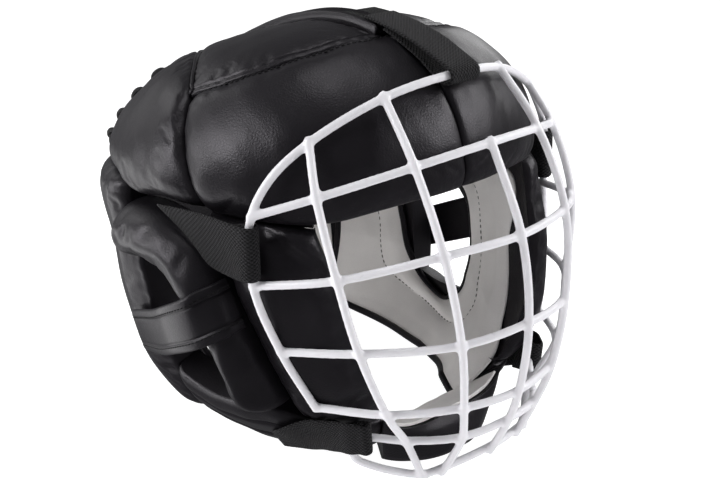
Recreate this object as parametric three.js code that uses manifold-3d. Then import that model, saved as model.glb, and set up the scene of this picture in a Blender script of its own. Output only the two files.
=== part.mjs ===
// Martial arts helmet: a padded leather headguard with a coated wire face grille.
// Millimetres, +Z up. The wearer faces -Y, the wearer's left is +X, and the rim stands on Z = 0.
import * as THREE from 'three';
import { mergeVertices } from 'three/addons/utils/BufferGeometryUtils.js';
import Module from 'manifold-3d';

const wasm = await Module();
wasm.setup();

const DEG = Math.PI / 180;
const PROBE = 0.5;
const SHARE_PROBE = 0.01;
const NEAR_TOP = 0.01;
const MERGE_REACH = 1e-4;

// Head form: where its middle is, how far it leans back at rest, and its outline
const HEAD_MIDDLE = new THREE.Vector3(0, 22, 139);
const LEAN = 14 * DEG;
const HALF_WIDTH = 108;
const FRONT_REACH = 122;
const BACK_REACH = 118;
const CROWN_RISE = 71.5;
const CROWN_TILT = 0.055;
const CROWN_TILT_POWER = 1.5;
const PLAN_POWER = 2.25;
const DOME_POWER_FRONT = 2.1;
const DOME_POWER_BACK = 1.82;
const JAW_TAPER = 0.16;
const JAW_TAPER_DEPTH = 122;
const JAW_TAPER_POWER = 4.6;
const FORM_BOTTOM = -190;

// Padding, leather and webbing
const PAD_WALL = 20;
const PAD_END_ROUND = 8;
const RIM_WALL = 14;
const RIM_WALL_HEIGHT = 45;
const LINING_THICK = 1.6;
const SEAM_INSET = 0.5;
const LINING_GAP = 1.1;
const WEBBING_THICK = 1.6;
const WRAP_CLEARANCE = 1;

// Grille wire
const WIRE_RADIUS = 2.2;
const TUBE_SIDES = 6;
const WIRE_STEP = 15;
const LOOP_STEP = 8;
const WELD_SINK = 0.8;
const KNOB_REACH = 2.5;
const GRILLE_MIDDLE = new THREE.Vector3(0, -5, 110);

// Middle of the object's box, front to back
const CENTRE_SHIFT = 5.06;

// Looks
const LEATHER = { color: 0x1c1a1e, roughness: 0.42, metalness: 0 };
const WEBBING = { color: 0x19181b, roughness: 0.85, metalness: 0 };
const FUZZ = { color: 0x141315, roughness: 0.95, metalness: 0 };
const SUEDE = { color: 0xb9b4ae, roughness: 0.9, metalness: 0 };
const CORD = { color: 0x121113, roughness: 0.8, metalness: 0 };
const DIPPED_WIRE = { color: 0xf0eef2, roughness: 0.35, metalness: 0 };

// Seams on the head form: angle from the front in degrees, height in mm
const CROWN_SEAM = [
  { angle: 0, height: 56 },
  { angle: 20, height: 56 },
  { angle: 41, height: 53.5 },
  { angle: 60, height: 49.5 },
  { angle: 78.5, height: 45 },
];
const BROW_EDGE = [
  { angle: 0, height: -17 },
  { angle: 20, height: -17 },
  { angle: 40, height: -19 },
  { angle: 56, height: -14 },
  { angle: 69.5, height: -8 },
];
const REAR_EDGE = [
  { angle: 69.5, height: -8 },
  { angle: 84, height: -2.5 },
  { angle: 97, height: -2 },
  { angle: 110, height: 8 },
  { angle: 145, height: 14 },
  { angle: 180, height: 14 },
];
const FACE_EDGE = [
  { angle: 42, height: -21 },
  { angle: 39.5, height: -44 },
  { angle: 37, height: -68 },
  { angle: 34.5, height: -92 },
  { angle: 32, height: -116 },
  { angle: 31, height: -134 },
];
const CHEEK_VALLEY = [
  { angle: 69.5, height: -9.5 },
  { angle: 66, height: -34 },
  { angle: 63.5, height: -56 },
  { angle: 60.5, height: -78 },
  { angle: 58, height: -100 },
  { angle: 56, height: -122.5 },
];
const EAR_HOLE_EDGE = [
  { angle: 103.4, height: -36 },
  { angle: 93, height: -36 },
  { angle: 85, height: -40 },
  { angle: 79, height: -51 },
  { angle: 75, height: -68 },
  { angle: 72.5, height: -88 },
  { angle: 70.5, height: -113 },
];
const EAR_ROLL_EDGE = [
  { angle: 103.4, height: -7 },
  { angle: 92, height: -7 },
  { angle: 82, height: -11 },
  { angle: 71, height: -24 },
  { angle: 65, height: -50 },
  { angle: 61.4, height: -78 },
  { angle: 58, height: -113 },
];
const JAW_TOP = [
  { angle: 103.5, height: -104 },
  { angle: 92, height: -113 },
  { angle: 78, height: -115 },
  { angle: 66, height: -115 },
  { angle: 55, height: -123.5 },
  { angle: 43, height: -129 },
  { angle: 31, height: -135 },
];
const JAW_FRONT = 31;
const NAPE_FRONT = 104;
const NAPE_TOP_GAP = 1;
const BACK_MIDDLE = 180;
const STRIP_HALF = 6;
const STRIP_FRONT = -77;
const STRIP_BACK = 78;
const STRIP_END_GAP = 4;
const REAR_TOP_DIP = 0.09;

// Side lining, as a ring round the ear hole: each row goes from the hole to the sheet's edge
const LINING_RING = [
  { holeAngle: 107.5, holeHeight: -74, edgeAngle: 135.5, edgeHeight: -66 },
  { holeAngle: 106.5, holeHeight: -50, edgeAngle: 135.5, edgeHeight: -14 },
  { holeAngle: 92, holeHeight: -36, edgeAngle: 95, edgeHeight: -14 },
  { holeAngle: 76.5, holeHeight: -44, edgeAngle: 49, edgeHeight: -26 },
  { holeAngle: 73.5, holeHeight: -72, edgeAngle: 45, edgeHeight: -74 },
  { holeAngle: 74.5, holeHeight: -98, edgeAngle: 39, edgeHeight: -120 },
  { holeAngle: 78, holeHeight: -117, edgeAngle: 33, edgeHeight: -152 },
  { holeAngle: 86, holeHeight: -124, edgeAngle: 66, edgeHeight: -153 },
  { holeAngle: 97, holeHeight: -115, edgeAngle: 101, edgeHeight: -145 },
  { holeAngle: 104.5, holeHeight: -97, edgeAngle: 135.5, edgeHeight: -122 },
];

// Lining at the nape: outer angle, rise of the lower edge, height of the upper edge
const NAPE_SHEET = { angle: 139, rise: 6, height: -14 };

// Chin pad: a cup with a thick foot and a thin top, between the jaw pads. Each face gives its depth at
// the foot and at the top, in the middle and at the ends, and how far it bulges
const CHIN_ANGLE = 30.2;
const CHIN_HEIGHT = 22;
const CHIN_END_RISE = 11;
const CHIN_END_POWER = 6;
const CHIN_FRONT = { foot: -100, top: -95, endFoot: -83, endTop: -91, bulge: -3 };
const CHIN_BACK = { foot: -57, top: -90, endFoot: -58, endTop: -84, bulge: 0 };
const CHIN_PLAN_POWER = 2.4;

// Lining on the back of the chin pad, as shares of the pad's half width and height
const CHIN_SHEET = { half: 0.86, low: 0.14, high: 0.96 };

// Grille crossings on the wearer's left: bars run across, ribs run from top to bottom
const FRAME_SIDE = [
  { x: 80, y: -81, z: 50.5 },
  { x: 92.3, y: -70.6, z: 82 },
  { x: 100, y: -60.6, z: 116 },
  { x: 99, y: -59, z: 149 },
  { x: 89, y: -61, z: 167 },
  { x: 71.5, y: -68.3, z: 183 },
  { x: 37.2, y: -80.2, z: 200 },
  { x: 0, y: -85.5, z: 205 },
];
const BARS = [
  [{ x: 99, y: -60, z: 151.5 }, { x: 78, y: -81.5, z: 162 }, { x: 40.4, y: -105, z: 174.5 },
    { x: 0, y: -113, z: 179 }],
  [{ x: 100, y: -60.6, z: 116 }, { x: 79.2, y: -97.3, z: 126.5 }, { x: 40.6, y: -126, z: 137.3 },
    { x: 0, y: -135, z: 139 }],
  [{ x: 92.3, y: -70.6, z: 82 }, { x: 71.5, y: -104, z: 88 }, { x: 35.5, y: -134.4, z: 92.5 },
    { x: 0, y: -143, z: 95.4 }],
  [{ x: 80, y: -81, z: 50.5 }, { x: 60.2, y: -111.4, z: 53.2 }, { x: 30.7, y: -132.7, z: 55.4 },
    { x: 0, y: -139.2, z: 55.6 }],
];
const CHIN_LOOP = [
  { x: 0, y: -133, z: 35.3 },
  { x: 26, y: -127.4, z: 33.6 },
  { x: 45.5, y: -109, z: 30.5 },
  { x: 57, y: -97, z: 31 },
  { x: 63.2, y: -90.6, z: 29.5 },
  { x: 63.5, y: -90, z: 19 },
  { x: 57.5, y: -95.5, z: 14 },
  { x: 37, y: -112, z: 8 },
  { x: 27, y: -116, z: 9.2 },
  { x: 0, y: -123, z: 14 },
];
const OUTER_RIB = [
  { x: 71.5, y: -68.3, z: 183 },
  { x: 78, y: -81.5, z: 162 },
  { x: 79.2, y: -97.3, z: 126.5 },
  { x: 71.5, y: -104, z: 88 },
  { x: 60.2, y: -111.4, z: 53.2 },
  { x: 45.5, y: -109, z: 30.5 },
  { x: 37, y: -112, z: 8 },
];
const INNER_RIB = [
  { x: 37.2, y: -80.2, z: 200 },
  { x: 40.4, y: -105, z: 174.5 },
  { x: 40.6, y: -126, z: 137.3 },
  { x: 35.5, y: -134.4, z: 92.5 },
  { x: 30.7, y: -132.7, z: 55.4 },
  { x: 26, y: -127.4, z: 33.6 },
  { x: 27, y: -116, z: 9.2 },
];
const MIDDLE_RIB = [
  { x: 0, y: -113, z: 179 },
  { x: 0, y: -135, z: 139 },
  { x: 0, y: -143, z: 95.4 },
  { x: 0, y: -139.2, z: 55.6 },
  { x: 0, y: -133, z: 35.3 },
  { x: 0, y: -123, z: 14 },
];

// Webbing and leather bands: rows along the band, on the head form or round a grille wire
const EAR_STRAP = [
  { angle: 109, low: -92, high: -68, offset: 4.2 },
  { angle: 99, low: -88, high: -63, offset: 5.5 },
  { angle: 89, low: -83, high: -58, offset: 9.5 },
  { angle: 79, low: -76, high: -51, offset: 15.5 },
  { angle: 71, low: -71, high: -45, offset: 17.3 },
  { angle: 66, low: -68, high: -41, offset: 13 },
  { angle: 62.3, low: -65, high: -39, offset: 4.5 },
];
const EAR_STRAP_THICK = 2.6;
const SIDE_STRAP = [
  { lowAngle: 72, low: -20, highAngle: 82, high: -6.5, offset: 3 },
  { lowAngle: 67, low: -33, highAngle: 70, high: -8.5, offset: 5 },
  { lowAngle: 60, low: -38, highAngle: 62, high: -11, offset: 8.5 },
];
const SIDE_STRAP_RETURN = [
  { lowAngle: 58.5, low: -38, highAngle: 60.5, high: -13, offset: 3.4 },
  { lowAngle: 64, low: -35, highAngle: 66, high: -12, offset: 2.2 },
];
const TOP_STRAP = [
  { depth: -66, offset: 4.8 },
  { depth: -76, offset: 5.4 },
  { depth: -86, offset: 6.2 },
  { depth: -95, offset: 7.4 },
];
const TOP_STRAP_RETURN = [
  { depth: -98, offset: 2.8 },
  { depth: -88, offset: 2.7 },
  { depth: -79, offset: 2.7 },
];
const TOP_STRAP_MIDDLE = 6;
const TOP_STRAP_HALF = 10;
const CHIN_STRAP = [
  { y: -42, lowX: 70.5, low: 4, highX: 79, high: 17 },
  { y: -55, lowX: 64.5, low: 6, highX: 85, high: 27 },
  { y: -71, lowX: 63.5, low: 14, highX: 78, high: 37 },
  { y: -83, lowX: 65.5, low: 19, highX: 70.5, high: 35 },
];
const CHIN_STRAP_RETURN = [
  { y: -80, lowX: 60, low: 19, highX: 64, high: 28.5 },
  { y: -76, lowX: 58.5, low: 17.5, highX: 66.6, high: 29.5 },
];
const SIDE_WRAP = { low: new THREE.Vector3(100.6, -59.7, 119.6), high: new THREE.Vector3(100.1, -58.7, 147) };
const CHIN_WRAP = { low: new THREE.Vector3(64, -89, 20.5), high: new THREE.Vector3(64, -89, 26.8) };
const PATCH = { low: -5, high: 20, depths: [-48, -60, -72], offset: 2.7 };
const WRAP_TURNS = [-12, 35, 80, 125, 170];

// Rear lacing: eyelet rows on both sides of each rear seam
const LACE_HEIGHTS = [19, 30, 41, 52];
const LACE_SEAM = 131;
const LACE_SPREAD = 4;
const LACE_RADIUS = 1.5;
const LACE_OFFSET = 2.8;
const LACE_STEPS = 16;

// Roundness of the dome, which slopes more towards the back
function domePower(angle) {
  return THREE.MathUtils.lerp(DOME_POWER_FRONT, DOME_POWER_BACK, 0.5 - 0.5 * Math.cos(angle * DEG));
}

// Head form: the point at an angle from the front and a height, before the form leans back
function formPoint(angle, height) {
  const up = Math.max(height, 0) / CROWN_RISE;
  const down = Math.max(-height, 0) / JAW_TAPER_DEPTH;
  const power = domePower(angle);
  const dome = Math.max(1 - up ** power, 0) ** (1 / power);
  const taper = 1 - JAW_TAPER * down ** JAW_TAPER_POWER;
  const side = Math.sin(angle * DEG);
  const ahead = Math.cos(angle * DEG);
  const plan = (Math.abs(side) ** PLAN_POWER + Math.abs(ahead) ** PLAN_POWER) ** (-1 / PLAN_POWER);
  const reach = ahead > 0 ? FRONT_REACH * taper : BACK_REACH;
  const y = -reach * dome * plan * ahead;
  const x = HALF_WIDTH * taper * dome * plan * side;
  return new THREE.Vector3(x, y, height - CROWN_TILT * y * up ** CROWN_TILT_POWER);
}

// Outward direction of the head form there
function formNormal(angle, height) {
  const top = Math.min(height + PROBE, CROWN_RISE - NEAR_TOP);
  const round = formPoint(angle + PROBE, height).sub(formPoint(angle - PROBE, height));
  const rise = formPoint(angle, top).sub(formPoint(angle, top - 2 * PROBE));
  return round.cross(rise).normalize();
}

function leanBack(vector) {
  return vector.applyAxisAngle(new THREE.Vector3(1, 0, 0), -LEAN);
}

// A point at an offset outward from the head form, in the object's own frame
function offsetPoint(spot, offset) {
  const point = formPoint(spot.angle, spot.height);
  point.addScaledVector(formNormal(spot.angle, spot.height), offset);
  return leanBack(point).add(HEAD_MIDDLE);
}

// The angle and height on the dome over a point of its plan
function domeSpot(x, y) {
  const reach = y < 0 ? FRONT_REACH : BACK_REACH;
  const across = Math.abs(x) / HALF_WIDTH;
  const along = Math.abs(y) / reach;
  const share = (across ** PLAN_POWER + along ** PLAN_POWER) ** (1 / PLAN_POWER);
  const angle = Math.atan2(x / HALF_WIDTH, -y / reach) / DEG;
  const power = domePower(angle);
  return { angle, height: CROWN_RISE * (1 - share ** power) ** (1 / power) };
}

// Height on the head form that lies at a rise above the surface that the rim stands on
function heightAtRise(angle, rise) {
  let low = FORM_BOTTOM;
  let high = 0;
  for (let i = 0; i < 40; i += 1) {
    const middle = (low + high) / 2;
    const above = offsetPoint({ angle, height: middle }, 0).z > rise;
    high = above ? middle : high;
    low = above ? low : middle;
  }
  return high;
}

function edgeCurve(table) {
  return new THREE.CatmullRomCurve3(table.map((row) => new THREE.Vector3(row.angle, row.height, 0)));
}

// Height of an edge at an angle, for edges that run round the head
function edgeHeight(table, angle) {
  const curve = edgeCurve(table);
  const rising = table[table.length - 1].angle > table[0].angle;
  let low = 0;
  let high = 1;
  for (let i = 0; i < 30; i += 1) {
    const middle = (low + high) / 2;
    const past = curve.getPoint(middle).x > angle === rising;
    high = past ? middle : high;
    low = past ? low : middle;
  }
  return curve.getPoint(high).y;
}

// Panels as functions of s along the panel and t from its low edge to its high edge
function betweenEdges(lowTable, highTable) {
  const low = edgeCurve(lowTable);
  const high = edgeCurve(highTable);
  return (s, t) => {
    const spot = low.getPoint(s).lerp(high.getPoint(s), t);
    return { angle: spot.x, height: spot.y };
  };
}

function betweenHeights(fromAngle, toAngle, lowAt, highAt) {
  return (s, t) => {
    const angle = THREE.MathUtils.lerp(fromAngle, toAngle, s);
    return { angle, height: THREE.MathUtils.lerp(lowAt(angle), highAt(angle), t) };
  };
}

function crownPanel(s, t) {
  const seam = edgeCurve(CROWN_SEAM).getPoint(s);
  const low = formPoint(seam.x, seam.y);
  const y = THREE.MathUtils.lerp(STRIP_FRONT, STRIP_BACK, s);
  return domeSpot(THREE.MathUtils.lerp(low.x, STRIP_HALF, t), THREE.MathUtils.lerp(low.y, y, t));
}

// Top of the rear panels: the crown panel's back edge, found at an angle
function crownBackHeight(angle) {
  let low = 0;
  let high = 1;
  for (let i = 0; i < 30; i += 1) {
    const middle = (low + high) / 2;
    const past = crownPanel(1, middle).angle > angle;
    high = past ? middle : high;
    low = past ? low : middle;
  }
  return crownPanel(1, high).height;
}

// One closed body between two grids of points; a ring also joins its last row to its first
function gridSolid(outer, inner, ring = false) {
  const rows = outer.length;
  const cols = outer[0].length;
  const at = (face, i, j) => (face * rows + (i % rows)) * cols + j;
  const index = [];
  const quad = (a, b, c, d) => index.push(a, b, c, a, c, d);
  const spans = ring ? rows : rows - 1;
  for (let i = 0; i < spans; i += 1) {
    for (let j = 0; j < cols - 1; j += 1) {
      quad(at(0, i, j), at(0, i + 1, j), at(0, i + 1, j + 1), at(0, i, j + 1));
      quad(at(1, i, j), at(1, i, j + 1), at(1, i + 1, j + 1), at(1, i + 1, j));
    }
    quad(at(0, i, 0), at(1, i, 0), at(1, i + 1, 0), at(0, i + 1, 0));
    quad(at(0, i + 1, cols - 1), at(1, i + 1, cols - 1), at(1, i, cols - 1), at(0, i, cols - 1));
  }
  for (let j = 0; j < cols - 1 && !ring; j += 1) {
    quad(at(0, 0, j + 1), at(1, 0, j + 1), at(1, 0, j), at(0, 0, j));
    quad(at(0, rows - 1, j), at(1, rows - 1, j), at(1, rows - 1, j + 1), at(0, rows - 1, j + 1));
  }
  const points = [...outer.flat(), ...inner.flat()];
  const geometry = new THREE.BufferGeometry().setFromPoints(points);
  geometry.setIndex(index);
  return facingOut(geometry);
}

function signedVolume(geometry) {
  const position = geometry.getAttribute('position');
  const corner = (k) => new THREE.Vector3().fromBufferAttribute(position, geometry.index.getX(k));
  let volume = 0;
  for (let k = 0; k < geometry.index.count; k += 3) {
    volume += corner(k).dot(corner(k + 1).cross(corner(k + 2)));
  }
  return volume / 6;
}

function facingOut(geometry) {
  if (signedVolume(geometry) < 0) {
    const index = Array.from(geometry.index.array);
    for (let k = 0; k < index.length; k += 3) {
      [index[k], index[k + 1]] = [index[k + 1], index[k]];
    }
    geometry.setIndex(index);
  }
  return geometry;
}

function mirrored(geometry) {
  return facingOut(geometry.clone().scale(-1, 1, 1));
}

// Share of a pad's swell between two seams, round for a low power and flat-topped for a high one
function pillow(u, power) {
  return Math.sqrt(Math.max(1 - Math.abs(2 * u - 1) ** power, 0));
}

// Steps that crowd towards both ends, where a pad rounds off
function easedSteps(count) {
  return Array.from({ length: count + 1 }, (_, i) => 0.5 - 0.5 * Math.cos((Math.PI * i) / count));
}

function wallAt(point) {
  return THREE.MathUtils.lerp(RIM_WALL, PAD_WALL, Math.min(Math.max(point.z / RIM_WALL_HEIGHT, 0), 1));
}

// A padded panel that swells between its seams and stands flat where it meets the surface below
function padSolid(panel, { along, across, edge, swell, round = 4, lobes = 1, wall, onFloor = false }) {
  const span = (a, b) => offsetPoint(a, 0).distanceTo(offsetPoint(b, 0));
  const endInset = SEAM_INSET / span(panel(0, 0.5), panel(1, 0.5));
  const outer = [];
  const inner = [];
  for (const step of easedSteps(along)) {
    const s = THREE.MathUtils.lerp(endInset, 1 - endInset, step);
    const inset = SEAM_INSET / span(panel(s, 0), panel(s, 1));
    const outerRow = [];
    const innerRow = [];
    for (const share of easedSteps(across)) {
      const t = THREE.MathUtils.lerp(onFloor ? 0 : inset, 1 - inset, share);
      const spot = panel(s, t);
      const lobe = share === 1 ? 1 : (share * lobes) % 1;
      const outside = offsetPoint(spot, edge + swell * pillow(step, PAD_END_ROUND) * pillow(lobe, round));
      const inside = offsetPoint(spot, -(wall ?? wallAt(offsetPoint(spot, 0))));
      const bottom = onFloor && share === 0;
      outside.z = bottom ? 0 : Math.max(outside.z, 0);
      inside.z = bottom ? 0 : Math.max(inside.z, 0);
      outerRow.push(outside);
      innerRow.push(inside);
    }
    outer.push(outerRow);
    inner.push(innerRow);
  }
  return gridSolid(outer, inner);
}

// Bands: each row has both edges of the band and the direction that its outer face looks
function formRow(low, high, offset, facing = 1) {
  const middle = { angle: (low.angle + high.angle) / 2, height: (low.height + high.height) / 2 };
  const normal = leanBack(formNormal(middle.angle, middle.height)).multiplyScalar(facing);
  return { low: offsetPoint(low, offset), high: offsetPoint(high, offset), normal };
}

// Rows round a wire between two points of it, turning on from the row that leads there
function wrapRows(low, high, lead, radius) {
  const axis = high.clone().sub(low).normalize();
  const forward = low.clone().add(high).sub(lead.low).sub(lead.high);
  forward.addScaledVector(axis, -forward.dot(axis)).normalize();
  const outward = axis.clone().cross(forward);
  outward.multiplyScalar(Math.sign(outward.dot(lead.normal)));
  return WRAP_TURNS.map((turn) => {
    const normal = outward.clone().multiplyScalar(Math.cos(turn * DEG));
    normal.addScaledVector(forward, Math.sin(turn * DEG));
    const round = (point) => point.clone().addScaledVector(normal, radius);
    return { low: round(low), high: round(high), normal };
  });
}

function bandSolid(rows, thick) {
  const face = (side) => rows.map(({ low, high, normal }) => (
    [low, high].map((point) => point.clone().addScaledVector(normal, (side * thick) / 2))
  ));
  return gridSolid(face(1), face(-1));
}

function earStrap() {
  const rows = EAR_STRAP.map(({ angle, low, high, offset }) => (
    formRow({ angle, height: low }, { angle, height: high }, offset)
  ));
  return bandSolid(rows, EAR_STRAP_THICK);
}

const WRAP_RADIUS = WIRE_RADIUS + WRAP_CLEARANCE + WEBBING_THICK / 2;

function sideStrap() {
  const onForm = (facing) => ({ lowAngle, low, highAngle, high, offset }) => (
    formRow({ angle: lowAngle, height: low }, { angle: highAngle, height: high }, offset, facing)
  );
  const run = SIDE_STRAP.map(onForm(1));
  const rows = [
    ...run,
    ...wrapRows(SIDE_WRAP.low, SIDE_WRAP.high, run[run.length - 1], WRAP_RADIUS),
    ...SIDE_STRAP_RETURN.map(onForm(-1)),
  ];
  return bandSolid(rows, WEBBING_THICK);
}

function topBarPoint(x) {
  const [side, middle] = FRAME_SIDE.slice(-2);
  const bow = (x / side.x) ** 2;
  const y = THREE.MathUtils.lerp(middle.y, side.y, bow);
  return new THREE.Vector3(x, y, THREE.MathUtils.lerp(middle.z, side.z, bow));
}

function topStrap() {
  const low = TOP_STRAP_MIDDLE - TOP_STRAP_HALF;
  const high = TOP_STRAP_MIDDLE + TOP_STRAP_HALF;
  const onDome = (facing) => ({ depth, offset }) => (
    formRow(domeSpot(low, depth), domeSpot(high, depth), offset, facing)
  );
  const run = TOP_STRAP.map(onDome(1));
  const rows = [
    ...run,
    ...wrapRows(topBarPoint(low), topBarPoint(high), run[run.length - 1], WRAP_RADIUS),
    ...TOP_STRAP_RETURN.map(onDome(-1)),
  ];
  return bandSolid(rows, WEBBING_THICK);
}

function chinStrap() {
  const onJaw = (facing) => ({ y, lowX, low, highX, high }) => {
    const normal = new THREE.Vector3(high - low, 0, lowX - highX).normalize().multiplyScalar(facing);
    return { low: new THREE.Vector3(lowX, y, low), high: new THREE.Vector3(highX, y, high), normal };
  };
  const run = CHIN_STRAP.map(onJaw(1));
  const rows = [
    ...run,
    ...wrapRows(CHIN_WRAP.low, CHIN_WRAP.high, run[run.length - 1], WRAP_RADIUS),
    ...CHIN_STRAP_RETURN.map(onJaw(-1)),
  ];
  return bandSolid(rows, WEBBING_THICK);
}

// Linings: thin sheets just inside the padding
function sheetRow(spots) {
  const near = spots.map((spot) => offsetPoint(spot, -(wallAt(offsetPoint(spot, 0)) + LINING_GAP)));
  const far = spots.map((spot) => (
    offsetPoint(spot, -(wallAt(offsetPoint(spot, 0)) + LINING_GAP + LINING_THICK))
  ));
  return { near, far };
}

function ringLining(table, along, across) {
  const spotCurve = (angle, height) => new THREE.CatmullRomCurve3(
    table.map((row) => new THREE.Vector3(row[angle], row[height], 0)), true,
  );
  const hole = spotCurve('holeAngle', 'holeHeight');
  const edge = spotCurve('edgeAngle', 'edgeHeight');
  const rows = Array.from({ length: along }, (_, i) => {
    const spots = Array.from({ length: across + 1 }, (__, j) => {
      const spot = hole.getPoint(i / along).lerp(edge.getPoint(i / along), j / across);
      return { angle: spot.x, height: spot.y };
    });
    return sheetRow(spots);
  });
  return gridSolid(rows.map((row) => row.near), rows.map((row) => row.far), true);
}

// Chin pad: half the width at which its ends meet the jaw pads
function chinHalf(y, z) {
  const ahead = (HEAD_MIDDLE.y - y) * Math.cos(LEAN) + (z - HEAD_MIDDLE.z) * Math.sin(LEAN);
  return (ahead * Math.tan(CHIN_ANGLE * DEG) * HALF_WIDTH) / FRONT_REACH;
}

// A point of one of its faces, with s from end to end and t from the foot to the top
function chinPoint({ foot, top, endFoot, endTop, bulge }, s, t) {
  const z = (CHIN_HEIGHT + CHIN_END_RISE * Math.abs(s) ** CHIN_END_POWER) * t;
  const middle = THREE.MathUtils.lerp(foot, top, t) + bulge * 4 * t * (1 - t);
  const end = THREE.MathUtils.lerp(endFoot, endTop, t);
  const y = THREE.MathUtils.lerp(middle, end, Math.abs(s) ** CHIN_PLAN_POWER);
  return new THREE.Vector3(chinHalf(end, z) * s, y, z);
}

function chinPad(along, across) {
  const grid = (face) => easedSteps(along).map((share) => (
    Array.from({ length: across + 1 }, (_, j) => chinPoint(face, 2 * share - 1, j / across))
  ));
  return gridSolid(grid(CHIN_FRONT), grid(CHIN_BACK));
}

function chinLining(along, across) {
  const lifted = (s, t, lift) => {
    const round = chinPoint(CHIN_BACK, s - SHARE_PROBE, t).sub(chinPoint(CHIN_BACK, s + SHARE_PROBE, t));
    const rise = chinPoint(CHIN_BACK, s, t + SHARE_PROBE).sub(chinPoint(CHIN_BACK, s, t - SHARE_PROBE));
    return chinPoint(CHIN_BACK, s, t).addScaledVector(round.cross(rise).normalize(), lift);
  };
  const grid = (lift) => Array.from({ length: along + 1 }, (_, i) => {
    const s = THREE.MathUtils.lerp(-CHIN_SHEET.half, CHIN_SHEET.half, i / along);
    return Array.from({ length: across + 1 }, (__, j) => (
      lifted(s, THREE.MathUtils.lerp(CHIN_SHEET.low, CHIN_SHEET.high, j / across), lift)
    ));
  });
  return gridSolid(grid(LINING_GAP), grid(LINING_GAP + LINING_THICK));
}

function panelLining(panel, along, across) {
  const rows = Array.from({ length: along + 1 }, (_, i) => (
    sheetRow(Array.from({ length: across + 1 }, (__, j) => panel(i / along, j / across)))
  ));
  return gridSolid(rows.map((row) => row.near), rows.map((row) => row.far));
}

// A round tube along a smooth curve, with flat ends
function roundTube(points, radius, steps) {
  const section = new THREE.Shape(Array.from({ length: TUBE_SIDES }, (_, i) => {
    const turn = (2 * Math.PI * (i + 0.5)) / TUBE_SIDES;
    return new THREE.Vector2(radius * Math.cos(turn), radius * Math.sin(turn));
  }));
  const extrudePath = new THREE.CatmullRomCurve3(points);
  const geometry = new THREE.ExtrudeGeometry(section, { steps, bevelEnabled: false, extrudePath });
  geometry.deleteAttribute('normal');
  geometry.deleteAttribute('uv');
  return facingOut(mergeVertices(geometry, MERGE_REACH));
}

// Grille: round wires swept along curves through the crossings, welded into one body
function wireSolid({ points, step = WIRE_STEP }) {
  const length = new THREE.CatmullRomCurve3(points).getLength();
  const tube = roundTube(points, WIRE_RADIUS, Math.ceil(length / step));
  return new wasm.Manifold(new wasm.Mesh({
    numProp: 3,
    vertProperties: new Float32Array(tube.getAttribute('position').array),
    triVerts: new Uint32Array(tube.index.array),
  }));
}

// Wire points, moved in or out so that ribs lie on the bars, with both ends lengthened
function wirePoints(table, sink, reach = 0) {
  const points = table.map(({ x, y, z }) => {
    const point = new THREE.Vector3(x, y, z);
    const outward = point.clone().sub(GRILLE_MIDDLE).normalize();
    return point.addScaledVector(outward, sink);
  });
  const lengthen = (end, next) => end.addScaledVector(end.clone().sub(next).normalize(), reach);
  lengthen(points[0], points[1]);
  lengthen(points[points.length - 1], points[points.length - 2]);
  return points;
}

function fullWidth(table) {
  const near = table.filter(({ x }) => x > 0).map(({ x, y, z }) => ({ x: -x, y, z }));
  return table[table.length - 1].x === 0 ? [...table, ...near.reverse()] : [...near.reverse(), ...table];
}

function mirrorWire(table) {
  return table.map(({ x, y, z }) => ({ x: -x, y, z }));
}

function grilleGeometry() {
  const bars = BARS.map((bar) => fullWidth(bar));
  const mouthBar = bars[bars.length - 1];
  const chinLoop = [...CHIN_LOOP, ...mirrorWire(CHIN_LOOP).reverse().slice(1, -1)];
  const half = CHIN_LOOP.length;
  const loops = [chinLoop.slice(0, half), [...chinLoop.slice(half - 1), chinLoop[0]]];
  const ribs = [OUTER_RIB, mirrorWire(OUTER_RIB), INNER_RIB, mirrorWire(INNER_RIB), MIDDLE_RIB];
  const wires = [
    { points: wirePoints(fullWidth(FRAME_SIDE), 0) },
    ...bars.map((bar) => ({ points: wirePoints(bar, -WELD_SINK, bar === mouthBar ? 0 : KNOB_REACH) })),
    ...loops.map((loop) => ({ points: wirePoints(loop, -WELD_SINK, KNOB_REACH), step: LOOP_STEP })),
    ...ribs.map((rib) => ({ points: wirePoints(rib, WELD_SINK, KNOB_REACH) })),
  ];
  const welded = wires.map(wireSolid).reduce((whole, wire) => whole.add(wire)).getMesh();
  const geometry = new THREE.BufferGeometry();
  geometry.setAttribute('position', new THREE.BufferAttribute(welded.vertProperties, 3));
  geometry.setIndex(new THREE.BufferAttribute(welded.triVerts, 1));
  return geometry;
}

function laceGeometry() {
  const points = LACE_HEIGHTS.map((height, i) => {
    const angle = LACE_SEAM + (i % 2 ? LACE_SPREAD : -LACE_SPREAD);
    return offsetPoint({ angle, height }, LACE_OFFSET);
  });
  return roundTube(points, LACE_RADIUS, LACE_STEPS);
}

const helmet = new THREE.Group();
helmet.position.y = CENTRE_SHIFT;

function addPart(name, geometry, look) {
  const mesh = new THREE.Mesh(geometry, new THREE.MeshStandardMaterial(look));
  mesh.name = name;
  helmet.add(mesh);
}

function addPair(name, geometry, look) {
  addPart(`${name}_left`, geometry, look);
  addPart(`${name}_right`, mirrored(geometry), look);
}

const foldAngle = (angle) => (angle > BACK_MIDDLE ? 2 * BACK_MIDDLE - angle : angle);
const floorAt = (angle) => heightAtRise(angle, 0);
const rearEdgeAt = (angle) => edgeHeight(REAR_EDGE, foldAngle(angle));
const crownBackAt = (angle) => crownBackHeight(foldAngle(angle));
const jawTopAt = (angle) => edgeHeight(JAW_TOP, angle);
const SEAM_FOOT = REAR_EDGE[0].angle;
const SEAM_HEAD = CROWN_SEAM[CROWN_SEAM.length - 1].angle;

function sheetPanel(fromAngle, toAngle, { rise, height }) {
  return betweenHeights(fromAngle, toAngle, (angle) => heightAtRise(angle, rise), () => height);
}

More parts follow.
